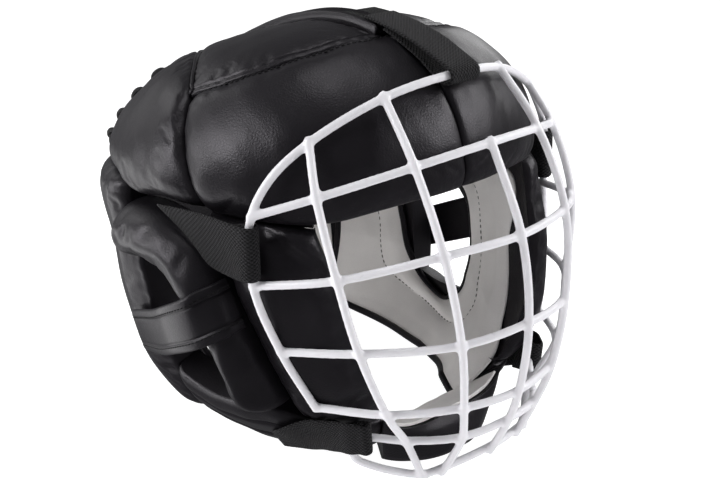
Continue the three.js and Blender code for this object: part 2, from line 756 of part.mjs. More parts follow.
function rearPanel(s, t) {
  const lowAngle = THREE.MathUtils.lerp(SEAM_FOOT, LACE_SEAM, s);
  const highAngle = THREE.MathUtils.lerp(SEAM_HEAD, LACE_SEAM, s);
  const low = rearEdgeAt(lowAngle);
  const high = crownBackAt(highAngle);
  return {
    angle: THREE.MathUtils.lerp(lowAngle, highAngle, t),
    height: THREE.MathUtils.lerp(low, high, t),
  };
}

const rearTopAt = (angle) => crownBackAt(angle) - REAR_TOP_DIP * Math.max(foldAngle(angle) - LACE_SEAM, 0);
const rearCentre = betweenHeights(LACE_SEAM, 2 * BACK_MIDDLE - LACE_SEAM, rearEdgeAt, rearTopAt);
const napeTopAt = (angle) => rearEdgeAt(angle) - NAPE_TOP_GAP;
const napePanel = betweenHeights(NAPE_FRONT, BACK_MIDDLE, floorAt, napeTopAt);
const jawPanel = betweenHeights(JAW_FRONT, JAW_TOP[0].angle, floorAt, jawTopAt);
const napeSheet = sheetPanel(NAPE_SHEET.angle, 2 * BACK_MIDDLE - NAPE_SHEET.angle, NAPE_SHEET);

function stripPanel(s, t) {
  const x = THREE.MathUtils.lerp(STRIP_HALF, -STRIP_HALF, t);
  return domeSpot(x, THREE.MathUtils.lerp(STRIP_FRONT + STRIP_END_GAP, STRIP_BACK - STRIP_END_GAP, s));
}

function patchRows() {
  const across = (depth) => [domeSpot(PATCH.low, depth), domeSpot(PATCH.high, depth)];
  return PATCH.depths.map((depth) => formRow(...across(depth), PATCH.offset));
}

addPart('grille', grilleGeometry(), DIPPED_WIRE);
addPair('forehead', padSolid(betweenEdges(BROW_EDGE, CROWN_SEAM),
  { along: 10, across: 6, edge: -3.5, swell: 5 }), LEATHER);
addPair('crown', padSolid(crownPanel, { along: 8, across: 5, edge: -3, swell: 4 }), LEATHER);
addPart('crown_strip', padSolid(stripPanel, { along: 12, across: 2, edge: -1, swell: 2, wall: 8 }), LEATHER);
addPart('loop_patch', bandSolid(patchRows(), WEBBING_THICK), FUZZ);
addPair('rear', padSolid(rearPanel, { along: 7, across: 5, edge: -4, swell: 6 }), LEATHER);
addPart('rear_centre', padSolid(rearCentre, { along: 12, across: 4, edge: -4, swell: 5 }), LEATHER);
addPair('lace', laceGeometry(), CORD);
addPair('nape', padSolid(napePanel, { along: 9, across: 7, edge: -4, swell: 6.5, onFloor: true }), LEATHER);
addPair('ear_roll', padSolid(betweenEdges(EAR_HOLE_EDGE, EAR_ROLL_EDGE),
  { along: 12, across: 6, edge: -4, swell: 17, round: 2 }), LEATHER);
addPair('cheek', padSolid(betweenEdges(FACE_EDGE, CHEEK_VALLEY),
  { along: 8, across: 5, edge: -4, swell: 5 }), LEATHER);
addPair('jaw', padSolid(jawPanel,
  { along: 9, across: 6, edge: -3, swell: 4, lobes: 2, onFloor: true }), LEATHER);
addPart('chin_pad', chinPad(10, 4), LEATHER);
addPair('ear_strap', earStrap(), LEATHER);
addPair('lining', ringLining(LINING_RING, 24, 3), SUEDE);
addPart('lining_nape', panelLining(napeSheet, 8, 4), SUEDE);
addPart('chin_lining', chinLining(8, 2), SUEDE);
addPart('top_strap', topStrap(), WEBBING);
addPair('side_strap', sideStrap(), WEBBING);
addPair('chin_strap', chinStrap(), WEBBING);

export default helmet;
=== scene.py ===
"""Looks of a martial arts helmet: padded black leather, grey lining, webbing straps and a white wire grille.

Shapes are worked out in millimetres in the part's own frame and become metres when a mesh is made.
The wearer faces -Y, the wearer's left is +X, and the rim stands on Z = 0.
"""

import math
from dataclasses import dataclass

import bmesh
import bpy
import numpy as np
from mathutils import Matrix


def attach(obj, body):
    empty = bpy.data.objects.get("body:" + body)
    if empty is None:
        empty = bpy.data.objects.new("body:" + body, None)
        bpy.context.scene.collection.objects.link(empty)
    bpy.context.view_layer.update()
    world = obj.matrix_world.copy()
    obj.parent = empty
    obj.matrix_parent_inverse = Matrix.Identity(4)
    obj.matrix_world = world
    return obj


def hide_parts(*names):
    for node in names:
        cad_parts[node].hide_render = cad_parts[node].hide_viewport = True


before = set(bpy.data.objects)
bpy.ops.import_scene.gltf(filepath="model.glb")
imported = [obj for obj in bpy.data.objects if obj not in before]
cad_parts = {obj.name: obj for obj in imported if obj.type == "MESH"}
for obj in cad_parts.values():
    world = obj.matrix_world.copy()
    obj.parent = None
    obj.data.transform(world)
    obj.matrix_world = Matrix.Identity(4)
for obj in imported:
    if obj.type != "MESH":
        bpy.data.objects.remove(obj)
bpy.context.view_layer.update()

MM = 0.001
BODY = "root"

# Camera of the photograph: 720 x 478 pixels, wearer's front right
CAMERA_PLACE = (-381.7, -468.84, 374.7)
CAMERA_TURN = (64.83, 0, -40)
CAMERA_LENS = 60
CAMERA_SENSOR = 36

# Head form, as in the part's source
HEAD_MIDDLE = np.array([0, 27.06, 139])
LEAN = math.radians(14)
HALF_WIDTH = 108
FRONT_REACH = 122
BACK_REACH = 118
CROWN_RISE = 71.5
CROWN_TILT = 0.055
CROWN_TILT_POWER = 1.5
PLAN_POWER = 2.25
DOME_POWER_FRONT = 2.1
DOME_POWER_BACK = 1.82
JAW_TAPER = 0.16
JAW_TAPER_DEPTH = 122
JAW_TAPER_POWER = 4.6
FORM_BOTTOM = -190
PROBE = 0.5
TOP_MARGIN = 0.01
CENTRE_SHIFT = 5.06

# Padding and coverings
PAD_WALL = 20
EDGE_WALL_SHARE = 0.34
EDGE_WALL_REACH = 28
RIM_WALL = 14
RIM_WALL_HEIGHT = 45
SEAM_GAP = 0.06
LINING_GAP = 1.1
LINING_THICK = 1.6
LINING_LIFT = 0.2
WEBBING_THICK = 1.6
CELL = 1.25
CROWDING = 0.55

# Relief: waves of the stuffing, round ends, a crown's hollow, puckers at seams and the groove beside a hem
LUMP_WAVE = 46
PILLOW_END = 14
DIP_POWER = 1.5
PUCKER_WAVE = 7.5
PUCKER_REACH = 0.4
PUCKER_START = 2
FOLD_END_SHARE = 0.25
HEM_RAMP = 1.2
HEM_ROUND = 1.3
HEM_GROOVE_SHARE = 0.8
HEM_GROOVE_PLACE = 0.6
HEM_GROOVE_WIDTH = 0.8

# Simulated covers: a coarse cloth in tenths of a metre, held at the seams
COVER_CELL = 2.8
COVER_LEAST = 6
COVER_SCALE = 0.01
COVER_FRAMES = 22
COVER_UNEVEN = 0.12
COVER_WAVE = 15
COVER_CAP = 1.8
COVER_RULES = {"quality": 6, "mass": 0.3, "tension_stiffness": 20, "compression_stiffness": 20,
               "shear_stiffness": 8, "bending_stiffness": 0.25, "air_damping": 2, "use_pressure": True,
               "uniform_pressure_force": 1.2, "vertex_group_mass": "seam"}

# Steps of the curves that are looked up, of the panels that are measured and of a search by halves
CURVE_STEPS = 400
LENGTH_STEPS = 40
LENGTH_LEVELS = (0.1, 0.5, 0.9)
HALVINGS = 30
SMALL = 1e-3

# Seams on the head form: angle from the front in degrees, height in mm
CROWN_SEAM = ((0, 56), (20, 56), (41, 53.5), (60, 49.5), (78.5, 45))
BROW_EDGE = ((0, -17), (20, -17), (40, -19), (56, -14), (69.5, -8))
REAR_EDGE = ((69.5, -8), (84, -2.5), (97, -2), (110, 8), (145, 14), (180, 14))
FACE_EDGE = ((42, -21), (39.5, -44), (37, -68), (34.5, -92), (32, -116), (31, -134))
CHEEK_VALLEY = ((69.5, -9.5), (66, -34), (63.5, -56), (60.5, -78), (58, -100), (56, -122.5))
EAR_HOLE_EDGE = ((103.4, -36), (93, -36), (85, -40), (79, -51), (75, -68), (72.5, -88), (70.5, -113))
EAR_ROLL_EDGE = ((103.4, -7), (92, -7), (82, -11), (71, -24), (65, -50), (61.4, -78), (58, -113))
ROLL_VALLEY = ((72, -20), (68.3, -34), (64, -56), (61.4, -78), (59.6, -100), (58, -113))
JAW_TOP = ((103.5, -104), (92, -113), (78, -115), (66, -115), (55, -123.5), (43, -129), (31, -135))
JAW_FRONT = 31
NAPE_FRONT = 104
NAPE_TOP_GAP = 0.1
BACK_MIDDLE = 180
STRIP_HALF = 6
STRIP_FRONT = -77
STRIP_BACK = 78
STRIP_END_GAP = 0.6
REAR_TOP_DIP = 0.09
LACE_SEAM = 131
REAR_SPAN = (LACE_SEAM, 2 * BACK_MIDDLE - LACE_SEAM)
CROWN_STITCH = 1.7
BACK_STITCH = 2.2


def catmull(table, share, closed=False):
    """Points on a centripetal curve through a table's rows, at shares from 0 to 1."""
    rows = np.asarray(table, float)
    count = len(rows)
    place = np.asarray(share, float) * (count if closed else count - 1)
    first = np.floor(place).astype(int)
    if not closed:
        first = np.clip(first, 0, count - 2)
    part = (place - first)[..., None]
    if closed:
        around = [rows[(first + k) % count] for k in (-1, 0, 1, 2)]
    else:
        longer = np.vstack([2 * rows[0] - rows[1], rows, 2 * rows[-1] - rows[-2]])
        around = [longer[first + k] for k in (0, 1, 2, 3)]
    before, start, end, after = around
    gap = [np.sqrt(np.linalg.norm(b - a, axis=-1))[..., None] for a, b in
           ((before, start), (start, end), (end, after))]
    gap = [np.maximum(step, SMALL) for step in gap]
    leave = (start - before) / gap[0] - (end - before) / (gap[0] + gap[1]) + (end - start) / gap[1]
    arrive = (end - start) / gap[1] - (after - start) / (gap[1] + gap[2]) + (after - end) / gap[2]
    leave = leave * gap[1]
    arrive = arrive * gap[1]
    square = -3 * start + 3 * end - 2 * leave - arrive
    cube = 2 * start - 2 * end + leave + arrive
    return start + part * (leave + part * (square + part * cube))


def mix(low, high, share):
    return low + (high - low) * share


def unit(vectors):
    return vectors / np.linalg.norm(vectors, axis=-1, keepdims=True)


def crossed(rows, cols):
    return np.meshgrid(rows, cols, indexing="ij")


def dome_power(angle):
    return mix(DOME_POWER_FRONT, DOME_POWER_BACK, 0.5 - 0.5 * np.cos(np.radians(angle)))


def form_point(angle, height):
    """Head form before it leans back."""
    up = np.maximum(height, 0) / CROWN_RISE
    down = np.maximum(-height, 0) / JAW_TAPER_DEPTH
    power = dome_power(angle)
    dome = np.maximum(1 - up ** power, 0) ** (1 / power)
    taper = 1 - JAW_TAPER * down ** JAW_TAPER_POWER
    side = np.sin(np.radians(angle))
    ahead = np.cos(np.radians(angle))
    plan = (np.abs(side) ** PLAN_POWER + np.abs(ahead) ** PLAN_POWER) ** (-1 / PLAN_POWER)
    reach = np.where(ahead > 0, FRONT_REACH * taper, BACK_REACH)
    y = -reach * dome * plan * ahead
    x = HALF_WIDTH * taper * dome * plan * side
    return np.stack([x, y, height - CROWN_TILT * y * up ** CROWN_TILT_POWER], -1)


def lean_back(vector):
    x, y, z = np.moveaxis(vector, -1, 0)
    cos, sin = math.cos(LEAN), math.sin(LEAN)
    return np.stack([x, y * cos + z * sin, z * cos - y * sin], -1)


def form_normal(angle, height):
    top = np.minimum(height + PROBE, CROWN_RISE - TOP_MARGIN)
    around = form_point(angle + PROBE, height) - form_point(angle - PROBE, height)
    rise = form_point(angle, top) - form_point(angle, top - 2 * PROBE)
    return lean_back(unit(np.cross(around, rise)))


def offset_point(angle, height, offset):
    angle, height, offset = np.broadcast_arrays(angle, height, offset)
    base = lean_back(form_point(angle, height)) + HEAD_MIDDLE
    return base + form_normal(angle, height) * offset[..., None]


def dome_spot(x, y):
    """Angle and height on the dome over a point of its plan."""
    reach = np.where(y < 0, FRONT_REACH, BACK_REACH)
    share = ((np.abs(x) / HALF_WIDTH) ** PLAN_POWER + (np.abs(y) / reach) ** PLAN_POWER) ** (1 / PLAN_POWER)
    angle = np.degrees(np.arctan2(x / HALF_WIDTH, -y / reach))
    power = dome_power(angle)
    return angle, CROWN_RISE * np.maximum(1 - share ** power, 0) ** (1 / power)


def height_at_rise(angle, rise):
    angle = np.asarray(angle, float)
    low = np.full(angle.shape, float(FORM_BOTTOM))
    high = np.zeros(angle.shape)
    for _ in range(HALVINGS):
        middle = (low + high) / 2
        above = (lean_back(form_point(angle, middle)) + HEAD_MIDDLE)[..., 2] > rise
        high = np.where(above, middle, high)
        low = np.where(above, low, middle)
    return high


def edge_height(table, angle):
    curve = catmull(table, np.linspace(0, 1, CURVE_STEPS))
    order = np.argsort(curve[:, 0])
    return np.interp(angle, curve[order, 0], curve[order, 1])


def wall_at(point):
    return mix(RIM_WALL, PAD_WALL, np.clip(point[..., 2] / RIM_WALL_HEIGHT, 0, 1))


def thinned(distance):
    """Share of the padding's thickness at a distance from the face edge."""
    share = np.clip(distance / EDGE_WALL_REACH, 0, 1)
    return mix(EDGE_WALL_SHARE, 1, share * share * (3 - 2 * share))


# Panels: angle and height for s along the panel and t from its low edge to its high edge
def height_along(table):
    return lambda angle: edge_height(table, angle)


def between_edges(low_table, high_table):
    def panel(s, t):
        spot = mix(catmull(low_table, s), catmull(high_table, s), np.asarray(t)[..., None])
        return spot[..., 0], spot[..., 1]
    return panel


def between_heights(from_angle, to_angle, low_at, high_at):
    def panel(s, t):
        angle = mix(from_angle, to_angle, s)
        return angle, mix(low_at(angle), high_at(angle), t)
    return panel


def crown_panel(s, t):
    seam = catmull(CROWN_SEAM, s)
    low = form_point(seam[..., 0], seam[..., 1])
    return dome_spot(mix(low[..., 0], STRIP_HALF, t), mix(low[..., 1], mix(STRIP_FRONT, STRIP_BACK, s), t))


def fold_angle(angle):
    return np.where(angle > BACK_MIDDLE, 2 * BACK_MIDDLE - angle, angle)


def floor_at(angle):
    return height_at_rise(angle, 0)


def rear_edge_at(angle):
    return edge_height(REAR_EDGE, fold_angle(angle))


def crown_back_at(angle):
    edge_angle, height = crown_panel(np.ones(CURVE_STEPS), np.linspace(0, 1, CURVE_STEPS))
    return np.interp(fold_angle(angle), edge_angle, height)


def rear_top_at(angle):
    return crown_back_at(angle) - REAR_TOP_DIP * np.maximum(fold_angle(angle) - LACE_SEAM, 0)


def nape_top_at(angle):
    return rear_edge_at(angle) - NAPE_TOP_GAP


def rear_panel(s, t):
    low_angle = mix(REAR_EDGE[0][0], LACE_SEAM, s)
    high_angle = mix(CROWN_SEAM[-1][0], LACE_SEAM, s)
    return mix(low_angle, high_angle, t), mix(rear_edge_at(low_angle), crown_back_at(high_angle), t)


def strip_panel(s, t):
    depth = mix(STRIP_FRONT + STRIP_END_GAP, STRIP_BACK - STRIP_END_GAP, s)
    return dome_spot(mix(STRIP_HALF, -STRIP_HALF, t), depth)


# Chin pad: each face's depth at its foot and top in the middle, then at its ends, and its bulge
CHIN_ANGLE = 30.6
CHIN_HEIGHT = 22
CHIN_END_RISE = 11
CHIN_END_POWER = 6
CHIN_FRONT = (-100, -95, -83, -91, -3)
CHIN_BACK = (-57, -93.4, -58, -89.2, 0)
CHIN_PLAN_POWER = 2.4
CHIN_SHEET = (0.93, 0.08, 0.97)


def chin_point(face, s, t):
    """A point of a face of the chin pad, with s from end to end and t from its foot to its top."""
    foot, top, end_foot, end_top, bulge = face
    z = (CHIN_HEIGHT + CHIN_END_RISE * np.abs(s) ** CHIN_END_POWER) * t
    middle = mix(foot, top, t) + bulge * 4 * t * (1 - t)
    end = mix(end_foot, end_top, t)
    ahead = (HEAD_MIDDLE[1] - CENTRE_SHIFT - end) * math.cos(LEAN) + (z - HEAD_MIDDLE[2]) * math.sin(LEAN)
    half = ahead * math.tan(math.radians(CHIN_ANGLE)) * HALF_WIDTH / FRONT_REACH
    y = mix(middle, end, np.abs(s) ** CHIN_PLAN_POWER) + CENTRE_SHIFT
    return np.stack([half * s, y, z], -1)


# Shapes of relief: leather over foam
def ripple(place, wave, seed):
    """Smooth uneven waves along a seam, about -1 to 1."""
    turn = 2 * math.pi * place / wave
    return (np.sin(turn + seed) + 0.7 * np.sin(1.618 * turn + 2.3 * seed)
            + 0.5 * np.sin(0.467 * turn + 4.1 * seed)) / 1.6


def lumps(points, wave, seed):
    """Soft unevenness of the stuffing, about -1 to 1."""
    x, y, z = np.moveaxis(points, -1, 0) * (2 * math.pi / wave)
    return (np.sin(x + 0.6 * y + seed) * np.sin(0.9 * z - 0.4 * x + 1.7 * seed)
            + 0.6 * np.sin(1.7 * y - 0.8 * z + 2.9 * seed) * np.sin(1.3 * x + 0.5 * z))


def quarter(distance, radius):
    """Share of a quarter circle's rise at a distance from a seam."""
    share = np.clip(distance / radius, 0, 1)
    return np.sqrt(np.clip(1 - (1 - share) ** 2, 0, 1))


def crease_depth(points, ends, depth, width):
    """A fold between two points, deepest at its middle and fading at both ends."""
    start, end = ends
    run = end - start
    share = np.clip(((points - start) @ run) / (run @ run), 0, 1)
    away = np.linalg.norm(points - (start + share[..., None] * run), axis=-1)
    return depth * np.exp(-(away / width) ** 2) * mix(FOLD_END_SHARE, 1, np.sin(math.pi * share))


# Meshes
def new_mesh(name, points, faces, material, side=1, flat=()):
    """A piece in metres, mirrored for side -1, smooth but for its flat faces."""
    mesh = bpy.data.meshes.new(name)
    mesh.from_pydata((points * [side, 1, 1] * MM).tolist(), [], faces)
    mesh.validate()
    mesh.materials.append(material)
    smooth = np.ones(len(mesh.polygons), bool)
    smooth[list(flat)] = False
    mesh.polygons.foreach_set("use_smooth", smooth)
    piece = bpy.data.objects.new(name, mesh)
    bpy.context.collection.objects.link(piece)
    outward(mesh)
    return piece


def outward(mesh):
    work = bmesh.new()
    work.from_mesh(mesh)
    bmesh.ops.recalc_face_normals(work, faces=work.faces)
    work.to_mesh(mesh)
    work.free()
    mesh.update()


def dress(piece, nodes=()):
    """Says what the piece rides on and which solids it stands for."""
    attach(piece, BODY)
    if nodes:
        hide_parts(*nodes)
    return piece


def grid_faces(rows, cols, start=0, closed_rows=False, closed_cols=False):
    last_row = rows if closed_rows else rows - 1
    last_col = cols if closed_cols else cols - 1
    i, j = crossed(np.arange(last_row), np.arange(last_col))
    at = lambda a, b: start + (a % rows) * cols + (b % cols)
    faces = np.stack([at(i, j), at(i + 1, j), at(i + 1, j + 1), at(i, j + 1)], -1)
    return faces.reshape(-1, 4).tolist()


def grid_solid(name, outer, inner, material, side=1, closed=False):
    """A piece between two grids: with flat walls, or smooth and closed in itself along its rows."""
    rows, cols = outer.shape[:2]
    size = rows * cols
    points = np.concatenate([outer.reshape(-1, 3), inner.reshape(-1, 3)])
    faces = grid_faces(rows, cols, closed_rows=closed)
    faces += [face[::-1] for face in grid_faces(rows, cols, size, closed)]
    at = np.arange(size).reshape(rows, cols)
    rims = [np.concatenate([at[0, :-1], at[:-1, -1], at[-1, :0:-1], at[:0:-1, 0]])]
    if closed:
        rims = [at[:, 0], at[:, -1]]
    walls = np.concatenate([np.stack([rim, np.roll(rim, -1)], -1) for rim in rims])
    walls = np.hstack([walls, walls[:, ::-1] + size]).tolist()
    flat = () if closed else range(len(faces), len(faces) + len(walls))
    return new_mesh(name, points, faces + walls, material, side, flat)


def spread(count):
    """Steps from 0 to 1 that crowd a little towards both ends."""
    even = np.linspace(0, 1, count + 1)
    return mix(even, 0.5 - 0.5 * np.cos(math.pi * even), CROWDING)


def run_lengths(points, axis):
    step = np.linalg.norm(np.diff(points, axis=axis), axis=-1)
    start = np.zeros_like(np.take(step, [0], axis=axis))
    return np.concatenate([start, np.cumsum(step, axis=axis)], axis=axis)


def resample(grid, rows, cols):
    """Smooth values of a grid at row and column places, counted in its own steps."""
    for axis, place in ((0, rows), (1, cols)):
        count = grid.shape[axis]
        first = np.clip(np.floor(place).astype(int), 0, count - 2)
        part = place - first
        shares = (0.5 * part * (-1 + part * (2 - part)), 1 + part * part * (1.5 * part - 2.5),
                  0.5 * part * (1 + part * (4 - 3 * part)), 0.5 * part * part * (part - 1))
        total = 0
        for step, share in zip((-1, 0, 1, 2), shares):
            picked = np.take(grid, np.clip(first + step, 0, count - 1), axis=axis)
            total = total + picked * (share[:, None] if axis == 0 else share[None])
        grid = total
    return grid


def settle_cover(grid, growth):
    """Cloth simulation of a cover held at its seams, cut a little larger than the foam under it."""
    rows, cols = grid.shape[:2]
    mesh = bpy.data.meshes.new("cover")
    mesh.from_pydata((grid.reshape(-1, 3) * COVER_SCALE).tolist(), [], grid_faces(rows, cols))
    piece = bpy.data.objects.new("cover", mesh)
    bpy.context.collection.objects.link(piece)
    at = np.arange(rows * cols).reshape(rows, cols)
    seam = np.unique(np.concatenate([at[0], at[-1], at[:, 0], at[:, -1]]))
    piece.vertex_groups.new(name="seam").add(seam.tolist(), 1.0, "ADD")
    cloth = piece.modifiers.new("cover", "CLOTH")
    for rule, value in {**COVER_RULES, "shrink_min": -growth, "shrink_max": -growth}.items():
        setattr(cloth.settings, rule, value)
    cloth.settings.effector_weights.gravity = 0
    cloth.collision_settings.use_collision = False
    cloth.point_cache.frame_end = COVER_FRAMES
    scene = bpy.context.scene
    for step in range(1, COVER_FRAMES + 1):
        scene.frame_set(step)
    settled = piece.evaluated_get(bpy.context.evaluated_depsgraph_get()).data
    points = np.zeros(rows * cols * 3, np.float32)
    settled.vertices.foreach_get("co", points)
    scene.frame_set(1)
    bpy.data.objects.remove(piece)
    bpy.data.meshes.remove(mesh)
    return points.reshape(rows, cols, 3).astype(float) / COVER_SCALE


@dataclass
class Pad:
    """A padded leather panel.

    Seams are (depth, radius, pucker) for its edges s0, s1, t0 and t1. Grooves and ridges are (share across,
    depth or rise, width), creases (start s and t, end s and t, depth, width), a hem is (edge, width, rise)
    and a dip is (depth, power across).
    """
    panel: object
    top: float
    seams: dict
    lump: float = 0
    swell: float = 0
    dip: tuple = (0, 0)
    grooves: tuple = ()
    ridges: tuple = ()
    creases: tuple = ()
    hem: tuple = None
    wall: float = None
    thin_edge: str = None
    on_floor: bool = False
    growth: float = 0
    seed: float = 1

    def __post_init__(self):
        self.made = None
        share = np.linspace(0, 1, LENGTH_STEPS)
        levels = [np.full(LENGTH_STEPS, level) for level in LENGTH_LEVELS]
        self.long = max(run_lengths(self.base(share, level), 0)[-1] for level in levels)
        self.wide = max(run_lengths(self.base(level, share), 0)[-1] for level in levels)

    def base(self, s, t):
        return offset_point(*self.panel(s, t), 0)

    def grids(self, steps):
        """Shares along and across the pad, from even steps between 0 and 1."""
        inset_s = SEAM_GAP / self.long
        inset_t = SEAM_GAP / self.wide
        s = mix(inset_s, 1 - inset_s, steps(self.long))
        t = mix(0 if self.on_floor else inset_t, 1 - inset_t, steps(self.wide))
        return crossed(s, t)

    def fine_grids(self):
        return self.grids(lambda length: spread(int(length / CELL)))

    def form(self, s, t, points):
        """Height of the stuffed pad over the head form, before its small relief."""
        along = run_lengths(points, 0)
        across = run_lengths(points, 1)
        away = {"s0": along, "s1": along[-1:] - along, "t0": across, "t1": across[:, -1:] - across}
        place = {"s0": across, "s1": across, "t0": along, "t1": along}
        offset = self.top + self.lump * lumps(points, LUMP_WAVE, self.seed)
        pillow = np.sqrt(np.clip(1 - np.abs(2 * t - 1) ** 2, 0, 1)) * quarter(away["s0"], PILLOW_END)
        offset = offset + self.swell * pillow * quarter(away["s1"], PILLOW_END)
        depth, power = self.dip
        offset = offset - depth * np.sin(math.pi * s ** DIP_POWER) ** DIP_POWER * t ** power
        for edge, (depth, radius, _) in self.seams.items():
            start = self.hem[1] if self.hem and self.hem[0] == edge else 0
            offset = offset - depth * (1 - quarter(np.maximum(away[edge] - start, 0), radius))
        return offset, away, place

    def relief(self, points, away, place):
        """Puckers, sewn grooves, welts, hem and folds."""
        across = away["t0"]
        total = np.zeros(points.shape[:2])
        for turn, (edge, (_, radius, pucker)) in enumerate(self.seams.items()):
            fade = np.exp(-away[edge] / (PUCKER_REACH * radius)) * quarter(away[edge], PUCKER_START)
            total += pucker * fade * ripple(place[edge], PUCKER_WAVE, self.seed + turn)
        for level, depth, width in self.grooves:
            total -= depth * np.exp(-((across - level * across[:, -1:]) / width) ** 2)
        for level, rise, width in self.ridges:
            total += rise * np.sqrt(np.clip(1 - ((across - level * across[:, -1:]) / width) ** 2, 0, 1))
        if self.hem:
            edge, width, rise = self.hem
            inside = np.clip((width - away[edge]) / HEM_RAMP, 0, 1)
            total += rise * quarter(away[edge], HEM_ROUND) * inside
            gap = away[edge] - width - HEM_GROOVE_PLACE
            total -= HEM_GROOVE_SHARE * rise * np.exp(-(gap / HEM_GROOVE_WIDTH) ** 2)
        for s0, t0, s1, t1, depth, width in self.creases:
            ends = self.base(np.array([s0, s1]), np.array([t0, t1]))
            total -= crease_depth(points, ends, depth, width)
        return total

    def cover(self, s, t):
        """Rise of the simulated cover over the stuffed form."""
        count = lambda length: max(int(length / COVER_CELL), COVER_LEAST)
        coarse_s, coarse_t = self.grids(lambda length: np.linspace(0, 1, count(length)))
        angle, height = self.panel(coarse_s, coarse_t)
        points = offset_point(angle, height, 0)
        normal = form_normal(angle, height)
        offset, _, _ = self.form(coarse_s, coarse_t, points)
        uneven = COVER_UNEVEN * lumps(points, COVER_WAVE, self.seed + 5)
        start = points + normal * (offset + uneven)[..., None]
        settled = settle_cover(start, self.growth)
        rise = np.sum((settled - start) * normal, -1) + uneven
        rise = COVER_CAP * np.tanh(rise / COVER_CAP)
        steps = [np.interp(fine, coarse, np.arange(len(coarse)))
                 for fine, coarse in ((s[:, 0], coarse_s[:, 0]), (t[0], coarse_t[0]))]
        return resample(rise, *steps)

    def surface(self):
        if self.made is not None:
            return self.made
        s, t = self.fine_grids()
        angle, height = self.panel(s, t)
        points = offset_point(angle, height, 0)
        normal = form_normal(angle, height)
        offset, away, place = self.form(s, t, points)
        offset = offset + self.relief(points, away, place)
        if self.growth:
            offset = offset + self.cover(s, t)
        outer = points + normal * offset[..., None]
        wall = wall_at(points) if self.wall is None else np.full(points.shape[:2], float(self.wall))
        if self.thin_edge:
            wall = wall * thinned(away[self.thin_edge])
        inner = points - normal * wall[..., None]
        if self.on_floor:
            for face in (outer, inner):
                face[..., 2] = np.maximum(face[..., 2], 0)
                face[:, 0, 2] = 0
        self.made = (outer, inner)
        return self.made

    def make(self, name, material, side=1):
        return grid_solid(name, *self.surface(), material, side)

    def track(self, s, t, lift):
        """Points that lie on the pad's outer face, lifted off it."""
        outer, _ = self.surface()
        grid_s, grid_t = self.fine_grids()
        grid_s, grid_t = grid_s[:, 0], grid_t[0]
        i = np.clip(np.searchsorted(grid_s, s), 1, len(grid_s) - 1)
        j = np.clip(np.searchsorted(grid_t, t), 1, len(grid_t) - 1)
        share_s = ((s - grid_s[i - 1]) / (grid_s[i] - grid_s[i - 1]))[:, None]
        share_t = ((t - grid_t[j - 1]) / (grid_t[j] - grid_t[j - 1]))[:, None]
        low = mix(outer[i - 1, j - 1], outer[i, j - 1], share_s)
        high = mix(outer[i - 1, j], outer[i, j], share_s)
        return mix(low, high, share_t) + form_normal(*self.panel(s, t)) * lift


# Tubes: a direction that no path follows, and the steps, sides and rounded ends of a stitch
SIDE_HINT = (0.31, 0.17, 0.93)
STITCH_STEPS = 7
STITCH_SIDES = 6
STITCH_TAPER = 0.92
STITCH_POWER = 6
STITCH_LEAST = 0.05


def section_tube(path, radius, sides, closed=False):
    """Points and faces of a round tube along a path; the radius may change along it."""
    path = np.asarray(path, float)
    count = len(path)
    if closed:
        tangent = np.roll(path, -1, 0) - np.roll(path, 1, 0)
    else:
        tangent = np.gradient(path, axis=0)
    tangent = unit(tangent)
    side = np.cross(tangent[0], SIDE_HINT)
    across = []
    for step in tangent:
        side = unit(side - step * (side @ step))
        across.append(side)
    across = np.array(across)
    up = np.cross(tangent, across)
    turn = np.linspace(0, 2 * math.pi, sides, endpoint=False)
    radius = np.broadcast_to(np.asarray(radius, float), (count,))
    ring = across[:, None] * np.cos(turn)[None, :, None] + up[:, None] * np.sin(turn)[None, :, None]
    points = (path[:, None] + ring * radius[:, None, None]).reshape(-1, 3)
    faces = grid_faces(count, sides, closed_rows=closed, closed_cols=True)
    if not closed:
        faces += [list(range(sides)), list(range((count - 1) * sides, count * sides))[::-1]]
    return points, faces


def joined(parts):
    """One list of points and faces from several."""
    points, faces, start = [], [], 0
    for part_points, part_faces in parts:
        points.append(part_points)
        faces += [[start + k for k in face] for face in part_faces]
        start += len(part_points)
    return np.concatenate(points), faces


def even_steps(path, step):
    """Points along a path at an even step."""
    length = run_lengths(path, 0)
    count = max(int(length[-1] / step), 2)
    places = np.linspace(0, length[-1], count + 1)
    return np.stack([np.interp(places, length, path[:, k]) for k in range(3)], -1)


def stitches(path, step, share, radius):
    """Short rounded threads along a path."""
    even = even_steps(path, step)
    place = np.linspace(-1, 1, STITCH_STEPS)
    bead = radius * np.sqrt(np.maximum(1 - STITCH_TAPER * place ** STITCH_POWER, STITCH_LEAST))
    parts = []
    for start, end in zip(even[:-1], even[1:]):
        run = (end - start) * share / 2
        parts.append(section_tube((start + end) / 2 + place[:, None] * run, bead, STITCH_SIDES))
    return joined(parts)


# Grille: crossings on the wearer's left, in the part's frame before the box is centred
# Columns of the bars: side frame, outer rib, inner rib, middle
BARS = (((99, -60, 151.5), (78, -81.5, 162), (40.4, -105, 174.5), (0, -113, 179)),
        ((100, -60.6, 116), (79.2, -97.3, 126.5), (40.6, -126, 137.3), (0, -135, 139)),
        ((92.3, -70.6, 82), (71.5, -104, 88), (35.5, -134.4, 92.5), (0, -143, 95.4)),
        ((80, -81, 50.5), (60.2, -111.4, 53.2), (30.7, -132.7, 55.4), (0, -139.2, 55.6)))
FRAME_TOP = ((99, -59, 149), (89, -61, 167), (71.5, -68.3, 183), (37.2, -80.2, 200), (0, -85.5, 205))
LOOP_TOP = ((0, -133, 35.3), (26, -127.4, 33.6), (45.5, -109, 30.5))
LOOP_SIDE = ((57, -97, 31), (63.2, -90.6, 29.5), (63.5, -90, 19), (57.5, -95.5, 14))
